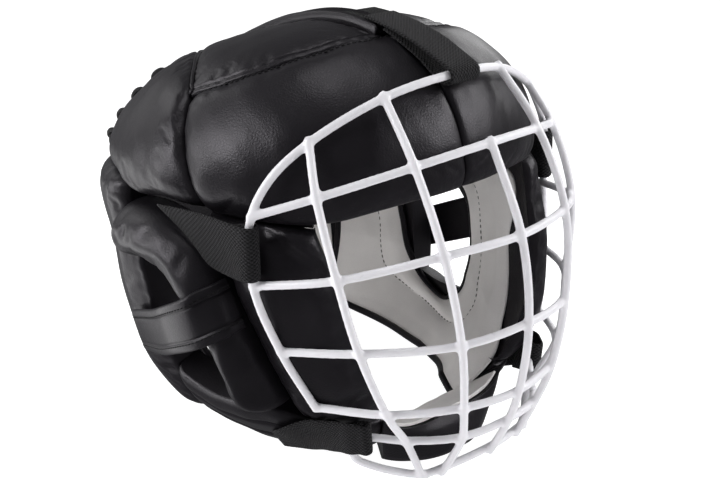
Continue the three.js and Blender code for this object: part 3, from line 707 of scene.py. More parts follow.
LOOP_FOOT = ((37, -112, 8), (27, -116, 9.2), (0, -123, 14))
FRAME_SIDE = tuple(bar[0] for bar in BARS[:0:-1]) + FRAME_TOP
CHIN_LOOP = LOOP_TOP + LOOP_SIDE + LOOP_FOOT
OUTER_RIB = (FRAME_TOP[2], *(bar[1] for bar in BARS), LOOP_TOP[2], LOOP_FOOT[0])
INNER_RIB = (FRAME_TOP[3], *(bar[2] for bar in BARS), LOOP_TOP[1], LOOP_FOOT[1])
MIDDLE_RIB = (*(bar[3] for bar in BARS), LOOP_TOP[0], LOOP_FOOT[2])
GRILLE_MIDDLE = np.array([0, -5, 110])
WIRE_RADIUS = 2.2
WIRE_SIDES = 14
WIRE_STEP = 2.0
CURVE_FINENESS = 60
LOOP_STEPS = 350
WELD_SINK = 0.8
KNOB_REACH = 0.9
KNOB_RADIUS = 2.35
WELD_RADIUS = 2.4
GRILLE_VOXEL = 0.95
GRILLE_SOFTENING = (0.5, 5)


# Bands: rows across the band, each with both edges and the direction its outer face looks
# Ear strap rows: angle, height and offset of the low edge, then of the high edge
EAR_STRAP = ((109, -92, 4.2, 109, -68, 4.2), (99, -88, 5.5, 99, -63, 5.5), (89, -83, 9.5, 89, -58, 9.5),
             (79, -76, 15.5, 79, -51, 15.5), (71, -71, 17.3, 71, -45, 17), (67, -68.5, 14.4, 69.4, -43, 12.5),
             (64.6, -67, 10.4, 67.4, -41.8, 6), (62.7, -66, 0, 66.2, -41, -1.5))
EAR_STRAP_THICK = 2.2
EAR_BINDING = 0.6
EAR_STITCH = 0.68
# Shares of the half width: the bindings' rise, ramp and power, then depth, place and width of grooves
EAR_RIM = (0.9, 0.05, 12)
EAR_GROOVES = ((0.6, EAR_BINDING - 0.03, 0.035), (0.3, EAR_STITCH, 0.03))
EAR_FULLNESS = 0.5
# Side strap rows: angle and height of the low edge, of the high edge, and offset
SIDE_STRAP = ((72, -20, 82, -3.5, 3), (67, -33, 70, -5.5, 5), (60, -38, 62, -8, 8.5))
SIDE_STRAP_RETURN = ((58.5, -38, 60.5, -13, 3.4), (64, -35, 66, -12, 2.2))
SIDE_WRAP = ((100.6, -54.64, 119.6), (100.1, -53.64, 147))
# Top strap rows: place from front to back on the dome, and offset
TOP_STRAP = ((-66, 4.0), (-76, 4.6), (-86, 5.8), (-95, 7.2))
TOP_STRAP_RETURN = ((-98, 2.8), (-88, 2.7), (-79, 2.7))
TOP_STRAP_MIDDLE = 6
TOP_STRAP_HALF = 10
# Chin strap rows: y, then x and z of the low edge and of the high edge
CHIN_STRAP = ((-36.94, 70.5, 4, 79, 17), (-49.94, 64.5, 6, 85, 27), (-65.94, 64.5, 14, 78.5, 38.5),
              (-77.94, 66.5, 20, 72, 41), (-85.5, 66.6, 22.5, 69.5, 42.5), (-90, 64, 24, 66.5, 42.5))
CHIN_STRAP_RETURN = ((-86, 58, 23.5, 60, 40), (-78, 58.5, 21, 63.5, 38))
CHIN_WRAP = ((61, -91, 24.6), (62.5, -91, 42))
CHIN_WRAP_RADIUS = 3
# Loop patch: places from front to back, both edges across, and offset
PATCH = ((-48, -60, -72), -5, 20, 1.9)
WRAP_TURNS = (-12, 35, 80, 125, 170)
WRAP_SPARE = 1
WRAP_RADIUS = WIRE_RADIUS + WRAP_SPARE + WEBBING_THICK / 2
PATCH_STEP = 0.8
BAND_STEP = 1.2
ROW_FINENESS = 40
BAND_COLUMNS = 24
BOUND_COLUMNS = 60
BAND_EDGE_POWER = 14
SIDE_SAG = 0.25
CHIN_SAG = 0.3
TOP_SAG = 0.2
SAG_WAVE = 34
SAG_SEED = 1
SAG_MIDDLE = 0.4


def form_row(low, high, offset, facing=1):
    middle = (np.array(low) + np.array(high)) / 2
    normal = form_normal(middle[0], middle[1]) * facing
    return offset_point(*low, offset), offset_point(*high, offset), normal


def dome_row(low, high, depth, offset, facing=1):
    return form_row(dome_spot(low, depth), dome_spot(high, depth), offset, facing)


def wrap_rows(low, high, lead, radius=WRAP_RADIUS):
    """Rows round a wire between two of its points, turning on from the row that leads there."""
    low, high = np.array(low, float), np.array(high, float)
    axis = unit(high - low)
    forward = low + high - lead[0] - lead[1]
    forward = unit(forward - axis * (forward @ axis))
    out = np.cross(axis, forward)
    out = out * np.sign(out @ lead[2])
    rows = []
    for turn in np.radians(WRAP_TURNS):
        normal = out * math.cos(turn) + forward * math.sin(turn)
        rows.append((low + normal * radius, high + normal * radius, normal))
    return rows


def band_rows(rows, step):
    """Rows at an even step along a smooth band."""
    table = np.array([np.concatenate(row) for row in rows])
    fine = catmull(table, np.linspace(0, 1, ROW_FINENESS * len(rows)))
    length = run_lengths((fine[:, :3] + fine[:, 3:6]) / 2, 0)
    places = np.linspace(0, length[-1], int(length[-1] / step) + 1)
    even = np.stack([np.interp(places, length, fine[:, k]) for k in range(9)], -1)
    low, high, facing = even[:, :3], even[:, 3:6], even[:, 6:]
    normal = np.cross(np.gradient(low + high, axis=0), high - low)
    normal *= np.sign(np.sum(normal * facing, 1, keepdims=True))
    return low, high, unit(normal), places


def band_piece(name, rows, thick, material, side=1, relief=None, step=BAND_STEP, sag=0.0):
    """A flat band with soft edges; relief gives extra height of the outer face across the band."""
    low, high, normal, places = band_rows(rows, step)
    across = spread(BOUND_COLUMNS if relief else BAND_COLUMNS) * 2 - 1
    soft = np.sqrt(1 - np.abs(across) ** BAND_EDGE_POWER) * thick / 2
    outer = soft + (relief(across) if relief else 0)
    width = np.linalg.norm(high - low, axis=1)
    wave = sag * ripple(places, SAG_WAVE, SAG_SEED)[:, None] * mix(SAG_MIDDLE, 1, across[None] ** 2)
    share = (across + 1) / 2
    flat = low[:, None] + (high - low)[:, None] * share[None, :, None]
    top = flat + normal[:, None] * (outer[None] + wave)[..., None]
    under = flat + normal[:, None] * (wave - soft[None])[..., None]
    ring = np.concatenate([top, under[:, -2:0:-1]], axis=1)
    count, loop = ring.shape[:2]
    faces = grid_faces(count, loop, closed_cols=True)
    cols = len(across)
    for start, turn in ((0, 1), ((count - 1) * loop, -1)):
        upper = list(range(start, start + cols))
        lower = [start] + list(range(start + loop - 1, start + cols - 1, -1)) + [start + cols - 1]
        faces += [[upper[k], upper[k + 1], lower[k + 1], lower[k]][::turn] for k in range(1, cols - 2)]
        faces += [[upper[0], upper[1], lower[1]][::turn], [upper[-2], upper[-1], lower[-2]][::turn]]
    piece = new_mesh(name, ring.reshape(-1, 3), faces, material, side)
    lay = np.concatenate([share, share[-2:0:-1]])
    weave = np.zeros((count, loop, 3))
    weave[..., 0] = places[:, None]
    weave[..., 1] = lay[None] * width[:, None]
    layer = piece.data.attributes.new("weave", "FLOAT_VECTOR", "POINT")
    layer.data.foreach_set("vector", weave.astype(np.float32).ravel())
    return piece


def side_strap_rows():
    rows = [form_row((a, h), (b, k), off) for a, h, b, k, off in SIDE_STRAP]
    back = [form_row((a, h), (b, k), off, -1) for a, h, b, k, off in SIDE_STRAP_RETURN]
    return rows + wrap_rows(*SIDE_WRAP, rows[-1]) + back


def top_bar(x):
    """A point of the grille's top wire between its inner ribs."""
    (end_x, end_y, end_z), (_, middle_y, middle_z) = FRAME_TOP[-2:]
    bow = (x / end_x) ** 2
    return np.array([x, mix(middle_y, end_y, bow) + CENTRE_SHIFT, mix(middle_z, end_z, bow)])


def top_strap_rows():
    low, high = TOP_STRAP_MIDDLE - TOP_STRAP_HALF, TOP_STRAP_MIDDLE + TOP_STRAP_HALF
    rows = [dome_row(low, high, *row) for row in TOP_STRAP]
    back = [dome_row(low, high, *row, -1) for row in TOP_STRAP_RETURN]
    return rows + wrap_rows(top_bar(low), top_bar(high), rows[-1]) + back


def chin_strap_rows():
    def on_jaw(y, low_x, low, high_x, high, facing):
        normal = facing * unit(np.array([high - low, 0, low_x - high_x], float))
        return np.array([low_x, y, low], float), np.array([high_x, y, high], float), normal
    rows = [on_jaw(*row, 1) for row in CHIN_STRAP]
    back = [on_jaw(*row, -1) for row in CHIN_STRAP_RETURN]
    return rows + wrap_rows(*CHIN_WRAP, rows[-1], CHIN_WRAP_RADIUS) + back


def ear_strap_rows():
    rows = []
    for low_angle, low, low_off, high_angle, high, high_off in EAR_STRAP:
        normal = form_normal((low_angle + high_angle) / 2, (low + high) / 2)
        rows.append((offset_point(low_angle, low, low_off), offset_point(high_angle, high, high_off), normal))
    return rows


def band_track(rows, share, lift):
    low, high, normal, _ = band_rows(rows, BAND_STEP)
    return mix(low, high, share) + normal * lift


def patch_rows():
    depths, low, high, offset = PATCH
    return [dome_row(low, high, depth, offset) for depth in depths]


def bound_edges(across):
    """Height across the ear strap: a flat binding along each edge and a slightly full middle."""
    reach = np.abs(across)
    rise, ramp, power = EAR_RIM
    total = rise * np.clip((reach - EAR_BINDING) / ramp, 0, 1) * np.sqrt(np.clip(1 - reach ** power, 0, 1))
    for depth, place, width in EAR_GROOVES:
        total -= depth * np.exp(-((reach - place) / width) ** 2)
    return total + EAR_FULLNESS * (1 - reach ** 2)


# Linings: thin sheets inside the padding
# Ring rows: angle and height at the ear hole, then at the outer edge
LINING_RING = ((107.5, -74, 135.5, -66), (106.5, -50, 135.5, -14), (92, -36, 95, -14), (76.5, -44, 49, -26),
               (73.5, -72, 46, -74), (74.5, -98, 38.5, -119), (78, -117, 27.5, -152), (86, -124, 66, -154),
               (97, -115, 101, -146), (104.5, -97, 135.5, -122))
LINING_ARC = (0.36, 0.33, 0.4, 0.25, 0.23, 0.22, 0.24, 0.42, 0.32, 0.35)
LINING_BOUND = (0.615, 1.12)
LINING_BINDING = 2.2
RING_STEPS = (260, 34)
RING_SLACK = 0.35
RING_SEED = 3
RING_SWELLS = (2.6, 1.6)
SWELL_POWER = 0.7
LINING_WAVE = 38
# Lining at the nape: first angle, rise of its low edge, height of its high edge
NAPE_SHEET = (139, 6, -14)
NAPE_STEPS = (120, 60)
NAPE_SLACK = 0.3
NAPE_SEED = 5


def sheet_points(angle, height, depth):
    base = offset_point(angle, height, 0)
    edge = np.interp(-np.asarray(height), [-row[1] for row in FACE_EDGE], [row[0] for row in FACE_EDGE])
    thin = thinned(np.radians(angle - edge) * HALF_WIDTH)
    return offset_point(angle, height, -(wall_at(base) * thin + depth))


def ring_spot(around, share):
    hole = catmull([row[:2] for row in LINING_RING], around, closed=True)
    edge = catmull([row[2:] for row in LINING_RING], around, closed=True)
    spot = mix(hole, edge, np.asarray(share)[..., None])
    return spot[..., 0], spot[..., 1]


def sewn_arc(around):
    """Share of the ring's width at which the padding round the ear hole is sewn down."""
    return catmull([(share,) for share in LINING_ARC], around, closed=True)[..., 0]


def ring_swells(around, share):
    """Height over the ring's width: two soft swells with the sewn arc between them."""
    arc = sewn_arc(around)
    widths = (np.clip(share / arc, 0, 1), np.clip((share - arc) / (1 - arc), 0, 1))
    return sum(rise * np.sin(math.pi * width) ** SWELL_POWER for rise, width in zip(RING_SWELLS, widths))


def lining_faces(angle, height, slack):
    """Both faces of a lining over the padding's inside."""
    near = sheet_points(angle, height, LINING_GAP + LINING_LIFT + np.maximum(slack, -LINING_LIFT))
    return near, sheet_points(angle, height, LINING_GAP + LINING_THICK + slack)


def ring_lining(name, material, side):
    """The lining round an ear hole, closed in itself."""
    rows, cols = RING_STEPS
    around, share = crossed(np.linspace(0, 1, rows, endpoint=False), np.linspace(0, 1, cols))
    angle, height = ring_spot(around, share)
    uneven = RING_SLACK * lumps(sheet_points(angle, height, LINING_GAP), LINING_WAVE, RING_SEED)
    slack = uneven * np.sin(math.pi * share) + ring_swells(around, share)
    return grid_solid(name, *lining_faces(angle, height, slack), material, side, closed=True)


def nape_lining(name, material):
    first, rise, top = NAPE_SHEET
    panel = between_heights(first, 2 * BACK_MIDDLE - first, lambda angle: height_at_rise(angle, rise),
                            lambda angle: np.full(np.shape(angle), float(top)))
    angle, height = panel(*crossed(*(np.linspace(0, 1, count) for count in NAPE_STEPS)))
    slack = NAPE_SLACK * lumps(offset_point(angle, height, 0), LINING_WAVE, NAPE_SEED)
    return grid_solid(name, *lining_faces(angle, height, slack), material)


def ring_track(share, around, depth):
    share = np.broadcast_to(share, around.shape)
    angle, height = ring_spot(around, share)
    return sheet_points(angle, height, depth)


# Grille: round wires with balls at their ends and crossings, blended into one body
def wire_points(table, sink, reach=0):
    """Points of a wire, sunk towards its crossing wires and run on past its ends."""
    points = np.array(table, float)
    points = points + sink * unit(points - GRILLE_MIDDLE)
    for end, near in ((0, 1), (-1, -2)):
        points[end] = points[end] + reach * unit(points[end] - points[near])
    return points


def mirrored(table):
    return [(-x, y, z) for x, y, z in table]


def full_width(table):
    return list(table) + mirrored(table)[-2::-1]


def smooth_path(points, step=WIRE_STEP):
    return even_steps(catmull(points, np.linspace(0, 1, CURVE_FINENESS * len(points))), step)


def ball(place, radius):
    work = bmesh.new()
    bmesh.ops.create_icosphere(work, subdivisions=2, radius=radius)
    points = np.array([vert.co[:] for vert in work.verts]) + place
    faces = [[vert.index for vert in face.verts] for face in work.faces]
    work.free()
    return points, faces


def grille_parts():
    """The chin loop, then each wire with its rounded ends, then the welds."""
    loop = wire_points(list(CHIN_LOOP) + mirrored(CHIN_LOOP)[-2:0:-1], -WELD_SINK)
    ring = catmull(loop, np.linspace(0, 1, LOOP_STEPS, endpoint=False), closed=True)
    parts = [section_tube(ring, WIRE_RADIUS, WIRE_SIDES, closed=True)]
    ribs = [OUTER_RIB, mirrored(OUTER_RIB), INNER_RIB, mirrored(INNER_RIB), MIDDLE_RIB]
    wires = [(wire_points(full_width(FRAME_SIDE), 0), WIRE_RADIUS)]
    wires += [(wire_points(full_width(bar), -WELD_SINK, KNOB_REACH), KNOB_RADIUS) for bar in BARS[:3]]
    wires += [(wire_points(full_width(BARS[3]), -WELD_SINK), WIRE_RADIUS)]
    wires += [(wire_points(rib, WELD_SINK, KNOB_REACH), KNOB_RADIUS) for rib in ribs]
    for wire, end_radius in wires:
        parts.append(section_tube(smooth_path(wire), WIRE_RADIUS, WIRE_SIDES))
        parts += [ball(wire[end], end_radius) for end in (0, -1)]
    crossings = {tuple(np.round(spot, 1)) for rib in ribs for spot in rib}
    parts += [ball(np.array(spot, float), WELD_RADIUS) for spot in sorted(crossings)]
    return parts


def grille_piece(material):
    points, faces = joined(grille_parts())
    piece = new_mesh("grille_wires", points + [0, CENTRE_SHIFT, 0], faces, material)
    remesh = piece.modifiers.new("blend", "REMESH")
    remesh.mode = "VOXEL"
    remesh.voxel_size = GRILLE_VOXEL * MM
    remesh.use_smooth_shade = True
    soften = piece.modifiers.new("soften", "SMOOTH")
    soften.factor, soften.iterations = GRILLE_SOFTENING
    settle(piece)
    return piece


def settle(piece):
    """Applies a piece's modifiers."""
    graph = bpy.context.evaluated_depsgraph_get()
    done = bpy.data.meshes.new_from_object(piece.evaluated_get(graph))
    piece.modifiers.clear()
    old = piece.data
    piece.data = done
    bpy.data.meshes.remove(old)
    done.polygons.foreach_set("use_smooth", np.ones(len(done.polygons), bool))


# Rear lacing: two strands that cross over the seam and go into the leather at each side
LACE_HEIGHTS = (17, 27, 37, 47, 55)
LACE_SPREAD = 4.2
LACE_RADIUS = 1.35
LACE_SUNK = -2.2
LACE_CROSSING = (2.6, 0.6)
LACE_BEND = 0.4
LACE_LEVEL = 0.6
LACE_STEP = 0.8
LACE_SIDES = 10


def lace_path(swing):
    rows = []
    for turn, height in enumerate(LACE_HEIGHTS):
        across = LACE_SPREAD * swing * (1 if turn % 2 else -1)
        rows.append(offset_point(LACE_SEAM + across, height, LACE_SUNK))
        if turn + 1 < len(LACE_HEIGHTS):
            middle = (height + LACE_HEIGHTS[turn + 1]) / 2
            over = LACE_CROSSING[(turn + (swing > 0)) % 2]
            for bend, level in ((LACE_BEND, LACE_LEVEL), (-LACE_BEND, 2 - LACE_LEVEL)):
                rows.append(offset_point(LACE_SEAM + bend * across, mix(height, middle, level), over))
    return smooth_path(rows, LACE_STEP)


# Materials
class Look:
    """A material: a colour and the shader's other plain values, and the nodes that feed the shader."""

    def __init__(self, name, color, values):
        self.material = bpy.data.materials.new(name)
        self.material.use_nodes = True
        self.material.diffuse_color = (*color, 1)
        self.tree = self.material.node_tree
        self.shader = self.tree.nodes["Principled BSDF"]
        for socket, value in {"Base Color": (*color, 1), **values}.items():
            self.shader.inputs[socket].default_value = value
        self.where = self.add("ShaderNodeTexCoord").outputs["Object"]

    def add(self, kind, inputs=None, **settings):
        """A node with its settings, and inputs that are numbers or other nodes' outputs."""
        made = self.tree.nodes.new(kind)
        for key, value in settings.items():
            setattr(made, key, value)
        for key, value in (inputs or {}).items():
            if isinstance(value, bpy.types.NodeSocket):
                self.tree.links.new(value, made.inputs[key])
            else:
                made.inputs[key].default_value = value
        return made

    def calc(self, operation, first, second=0.0, third=0.0):
        return self.add("ShaderNodeMath", {0: first, 1: second, 2: third}, operation=operation).outputs[0]

    def noise(self, vector, scale, detail=2.0, output="Fac"):
        values = {"Vector": vector, "Scale": scale, "Detail": detail}
        return self.add("ShaderNodeTexNoise", values).outputs[output]

    def cells(self, vector, scale, feature):
        values = {"Vector": vector, "Scale": scale}
        return self.add("ShaderNodeTexVoronoi", values, feature=feature).outputs["Distance"]

    def spans(self, value, low, high, to_low=0.0, to_high=1.0):
        values = {"Value": value, "From Min": low, "From Max": high, "To Min": to_low, "To Max": to_high}
        return self.add("ShaderNodeMapRange", values).outputs["Result"]

    def feed(self, socket, value):
        self.tree.links.new(value, self.shader.inputs[socket])

    def tints(self, share, first, second):
        values = {"Factor": share, "A": (*first, 1), "B": (*second, 1)}
        self.feed("Base Color", self.add("ShaderNodeMix", values, data_type="RGBA").outputs["Result"])

    def bump(self, height, distance, strength=1.0):
        values = {"Height": height, "Distance": distance, "Strength": strength}
        self.feed("Normal", self.add("ShaderNodeBump", values).outputs["Normal"])


def leather_look():
    """Black coated leather: fine pebble grain, faint stretch lines and uneven satin."""
    look = Look("black_leather", (0.0088, 0.0078, 0.0094), {
        "Roughness": 0.38, "Specular IOR Level": 0.26, "Specular Tint": (0.97, 0.93, 1.0, 1)})
    warp = look.noise(look.where, scale=420.0, output="Color")
    bent = look.add("ShaderNodeVectorMath", {0: warp, 1: (0.0011,) * 3}, operation="MULTIPLY").outputs[0]
    bent = look.add("ShaderNodeVectorMath", {0: look.where, 1: bent}, operation="ADD").outputs[0]
    pebble = look.spans(look.cells(bent, 640.0, "DISTANCE_TO_EDGE"), 0.0, 0.28)
    turned = look.add("ShaderNodeMapping", {"Vector": look.where, "Rotation": (0.5, 0.7, 0.6),
                                            "Scale": (1500.0, 420.0, 420.0)}).outputs[0]
    lines = look.noise(turned, scale=1.0)
    height = look.calc("MULTIPLY_ADD", pebble, 0.7, look.calc("MULTIPLY", lines, 0.8))
    look.bump(height, distance=0.00013, strength=0.4)
    patches = look.noise(look.where, scale=34.0, detail=3.0)
    satin = look.spans(patches, 0.3, 0.7, 0.36, 0.43)
    look.feed("Roughness", look.calc("MULTIPLY_ADD", pebble, -0.05, satin))
    look.tints(patches, (0.0062, 0.0055, 0.0068), (0.0092, 0.0082, 0.0100))
    return look.material


def webbing_look(pitch, rib):
    """Woven webbing: rows of small raised threads set off from each other along the band, with painted shade
    in the gaps and a painted highlight on the thread tops.
    """
    # The light colour is a painted highlight on the raised threads, the dark one painted shade in the gaps.
    light, dark = (0.0175, 0.0165, 0.0188), (0.0018, 0.0017, 0.002)
    look = Look("black_webbing", light, {
        "Roughness": 0.82, "Specular IOR Level": 0.2, "Sheen Weight": 0.03, "Sheen Roughness": 0.5})
    lay = look.add("ShaderNodeAttribute", attribute_name="weave").outputs["Vector"]
    axes = look.add("ShaderNodeSeparateXYZ", {0: lay}).outputs
    along_sine, across_sine = (look.calc("SINE", look.calc("MULTIPLY", axis, 2 * math.pi / wave))
                               for axis, wave in ((axes[0], pitch), (axes[1], rib)))
    thread = look.calc("MULTIPLY", along_sine, across_sine)
    fuzz = look.noise(look.where, scale=1700.0)
    height = look.calc("MULTIPLY_ADD", thread, 0.5, look.calc("MULTIPLY", fuzz, 0.6))
    look.bump(height, distance=0.0006)
    # Colour follows the weave's height: painted shade in the gaps, painted highlight on the threads, and
    # random tone from the fuzz.
    look.tints(look.spans(height, -0.2, 0.75), dark, light)
    look.feed("Roughness", look.spans(fuzz, 0.2, 0.8, 0.72, 0.92))
    return look.material


def fuzz_look():
    """Loop fastener: a dense mat of tiny loops."""
    light, dark = (0.006, 0.0058, 0.0066), (0.002, 0.002, 0.0023)
    look = Look("loop_fuzz", light, {
        "Roughness": 0.95, "Specular IOR Level": 0.1, "Sheen Weight": 0.03, "Sheen Roughness": 0.6})
    loops = look.cells(look.where, 1500.0, "SMOOTH_F1")
    mat = look.noise(look.where, scale=700.0, detail=4.0)
    look.bump(look.calc("MULTIPLY_ADD", mat, 1.2, loops), distance=0.0006)
    look.tints(loops, light, dark)
    return look.material


def suede_look():
    """Light warm grey brushed lining with a soft nap."""
    color = (0.80, 0.775, 0.76)
    look = Look("grey_suede", color, {"Roughness": 0.9, "Sheen Weight": 0.25, "Sheen Roughness": 0.7})
    nap = look.noise(look.where, scale=1600.0, detail=3.0)
    clouds = look.noise(look.where, scale=45.0, detail=3.0)
    look.bump(look.calc("MULTIPLY_ADD", clouds, 0.6, nap), distance=0.00022, strength=0.6)
    share = look.calc("MULTIPLY_ADD", nap, 0.4, look.calc("MULTIPLY", clouds, 0.6))
    look.tints(look.spans(share, 0.3, 0.7), color, (0.91, 0.885, 0.87))
    look.feed("Roughness", look.spans(nap, 0.2, 0.8, 0.82, 0.97))
    return look.material


def dipped_look():
    """White plastic dip over wire: smooth, with faint runs and a little dulling."""
    look = Look("white_dip", (0.86, 0.855, 0.885), {
        "Roughness": 0.34, "Subsurface Weight": 0.08, "Subsurface Radius": (0.002, 0.0018, 0.0018)})
    runs = look.noise(look.where, scale=160.0, detail=3.0)
    skin = look.noise(look.where, scale=900.0)
    look.bump(look.calc("MULTIPLY_ADD", skin, 0.25, runs), distance=0.00035, strength=0.35)
    look.feed("Roughness", look.spans(runs, 0.3, 0.7, 0.27, 0.42))
    look.tints(runs, (0.72, 0.71, 0.745), (0.80, 0.79, 0.82))
    return look.material


def thread_look(name, color):
    """Twisted sewing thread or braided lace, with painted shade in the grooves of the twist."""
    look = Look(name, color, {"Roughness": 0.6, "Specular IOR Level": 0.12, "Sheen Weight": 0.05})
    twist = look.add("ShaderNodeTexWave", {"Vector": look.where, "Scale": 900.0, "Distortion": 2.0},
                     wave_type="BANDS", bands_direction="DIAGONAL").outputs["Fac"]
    look.bump(twist, distance=0.0002, strength=0.7)
    # Painted shade: the colour drops to about half in the twist's grooves, where the bump is low.
    look.tints(twist, tuple(0.55 * part for part in color), color)
    look.feed("Roughness", look.spans(twist, 0.0, 1.0, 0.5, 0.7))
    return look.material


LEATHER = leather_look()
WEBBING = webbing_look(pitch=2.1, rib=1.9)
FUZZ = fuzz_look()
SUEDE = suede_look()
DIPPED = dipped_look()
BLACK_THREAD = thread_look("black_thread", (0.005, 0.0048, 0.0056))
GREY_THREAD = thread_look("grey_thread", (0.20, 0.19, 0.185))
LACE_CORD = thread_look("lace_cord", (0.012, 0.0115, 0.013))

# Folds: start s and t, end s and t, depth and width in mm
CHEEK_FOLDS = ((0.0, 0.5, 0.24, 0.0, 3.2, 4.5), (0.03, 0.3, 0.16, 0.04, 0.6, 0.9),
               (0.0, 0.22, 0.12, 0.0, 0.6, 0.8), (0.82, 0.8, 0.97, 0.55, 1.5, 2.4),
               (0.9, 0.95, 0.99, 0.75, 1.2, 2.0), (0.8, 0.3, 0.95, 0.2, 0.8, 2.2))
ROLL_FOLDS = ((0.13, 0.0, 0.1, 0.55, 1.6, 2.0), (0.19, 0.0, 0.22, 0.45, 1.2, 1.7),
              (0.07, 0.0, 0.03, 0.45, 1.2, 1.6), (0.3, 0.05, 0.36, 0.4, 0.8, 1.8),
              (0.9, 0.2, 0.98, 0.6, 1.2, 2.2))

# Pads: height over the head form, and (depth, radius, pucker) at each edge
FOREHEAD = Pad(between_edges(BROW_EDGE, CROWN_SEAM), 1.2, {
    "s0": (2.8, 3.8, 0.03), "s1": (6.5, 15, 0.15), "t0": (7, 12, 0.1), "t1": (3.6, 9, 0.1)},
    lump=0.35, seed=1.0, growth=0.004)
CROWN = Pad(crown_panel, -1.2, {
    "s0": (2, 5, 0.05), "s1": (1.4, 4, 0.1), "t0": (1.2, 6, 0.05), "t1": (2.4, 9, 0.05)},
    lump=0.25, seed=2.2, growth=0.008, hem=("t0", 4.6, 1.3), dip=(3.4, 1))
STRIP = Pad(strip_panel, 2.2, {
    "s0": (2, 4, 0), "s1": (2, 4, 0), "t0": (2.4, 1.6, 0), "t1": (2.4, 1.6, 0)},
    lump=0.12, seed=3.1, wall=8, dip=(3.4, 0), grooves=((0.3, 0.8, 0.7), (0.7, 0.8, 0.7)),
    ridges=((0.15, 1.3, 1.5), (0.85, 1.3, 1.5)))
REAR = Pad(rear_panel, 1.4, {
    "s0": (6.5, 15, 0.2), "s1": (4.5, 9, 0.2), "t0": (8, 15, 0.3), "t1": (2.6, 7, 0.2)},
    lump=0.6, seed=4.4, growth=0.004)
REAR_CENTRE = Pad(between_heights(*REAR_SPAN, rear_edge_at, rear_top_at), 1.0, {
    "s0": (4.5, 9, 0.2), "s1": (4.5, 9, 0.2), "t0": (7, 14, 0.3), "t1": (4.5, 10, 0.2)},
    lump=0.6, seed=5.3, growth=0.03)
NAPE = Pad(between_heights(NAPE_FRONT, BACK_MIDDLE, floor_at, nape_top_at), 2.2, {
    "s0": (7, 14, 0.3), "s1": (3, 8, 0.2), "t0": (5, 12, 0.1), "t1": (7, 13, 0.3)},
    lump=0.7, seed=6.7, growth=0.035, on_floor=True)
EAR_ROLL = Pad(between_edges(EAR_HOLE_EDGE, EAR_ROLL_EDGE), -4, {
    "s0": (5, 12, 0.2), "s1": (5, 12, 0.2), "t0": (0.5, 5, 0.2), "t1": (0.5, 5, 0.2)},
    lump=0.6, seed=7.9, growth=0.04, swell=17, creases=ROLL_FOLDS)
CHEEK = Pad(between_edges(FACE_EDGE, CHEEK_VALLEY), 1.2, {
    "s0": (5.5, 11, 0.3), "s1": (5, 11, 0.4), "t0": (6, 12, 0.2), "t1": (6, 13, 0.3)},
    lump=0.7, seed=8.6, growth=0.022, creases=CHEEK_FOLDS, thin_edge="t0")
JAW = Pad(between_heights(JAW_FRONT, JAW_TOP[0][0], floor_at, height_along(JAW_TOP)), 1.0, {
    "s0": (3, 8, 0.1), "s1": (4, 10, 0.2), "t0": (3.5, 8, 0.1), "t1": (4, 8, 0.2)},
    lump=0.4, seed=9.2, on_floor=True, thin_edge="s0", grooves=((0.38, 2.2, 1.2), (0.7, 2.0, 1.1)))

# Chin pad's cover: radii of its top, ends and foot, how far each draws in, and its unevenness
CHIN_STEPS = (90, 40)
CHIN_RADII = (5, 8, 4)
CHIN_TOP_SHARE = 0.42
CHIN_MOST_SHARE = 0.46
CHIN_END_DRAW = 2.2
CHIN_FRONT_FOOT = 1.6
CHIN_BACK_FOOT = 1.5
CHIN_LUMP = 0.3
CHIN_WAVE = 30
CHIN_SEED = 10.4
# Its lining: steps, heights of both faces over the pad's back, slack, wave and seed
CHIN_SHEET_STEPS = (80, 24)
CHIN_SHEET_FACES = (0.4, 1.9)
CHIN_SLACK = (0.25, 26, 5)
# Gussets: bottom of the gaps, with angles where they start and end
EAR_GUSSET = (70.6, 103.9)
BROW_GUSSET = (42.4, 69.4)
REAR_GUSSET_INSET = 0.5
GUSSET_BACKING = 3


def chin_pad(name, material):
    """The chin pad: its two faces draw together round its top and a little at its ends."""
    s, t = crossed(np.linspace(-1, 1, CHIN_STEPS[0]), spread(CHIN_STEPS[1]))
    front, back = chin_point(CHIN_FRONT, s, t), chin_point(CHIN_BACK, s, t)
    thick = back[..., 1] - front[..., 1]
    away = ((1 - t) * CHIN_HEIGHT, (1 - np.abs(s)) * front[-1:, :, 0], t * CHIN_HEIGHT)
    crown, ends, foot = (1 - quarter(gap, radius) for gap, radius in zip(away, CHIN_RADII))
    top = CHIN_TOP_SHARE * thick * crown
    uneven = CHIN_LUMP * lumps(front, CHIN_WAVE, CHIN_SEED)
    drawn = np.minimum(CHIN_MOST_SHARE * thick, top + CHIN_END_DRAW * ends + CHIN_FRONT_FOOT * foot)
    front[..., 1] += drawn + uneven
    back[..., 1] -= top + CHIN_BACK_FOOT * foot * (t > 0)
    return grid_solid(name, front, back, material)


def chin_lining(name, material):
    """Lining on the back of the chin pad."""
    half, low, high = CHIN_SHEET
    rows, cols = CHIN_SHEET_STEPS
    s, t = crossed(np.linspace(-half, half, rows), np.linspace(low, high, cols))
    face = chin_point(CHIN_BACK, s, t)
    normal = unit(np.cross(np.gradient(face, axis=1), np.gradient(face, axis=0)))
    normal *= np.sign(normal[..., 1:2])
    rise, wave, seed = CHIN_SLACK
    slack = rise * lumps(face, wave, seed)[..., None]
    near, far = CHIN_SHEET_FACES
    return grid_solid(name, face + normal * near, face + normal * (far + slack), material)


def gusset(panel, depth):
    """Plain leather at the bottom of a gap between pads."""
    return Pad(panel, -depth, {}, wall=depth + GUSSET_BACKING)


def cheek_top_at(angle):
    return np.interp(angle, (FACE_EDGE[0][0], CHEEK_VALLEY[0][0]), (FACE_EDGE[0][1], CHEEK_VALLEY[0][1]))


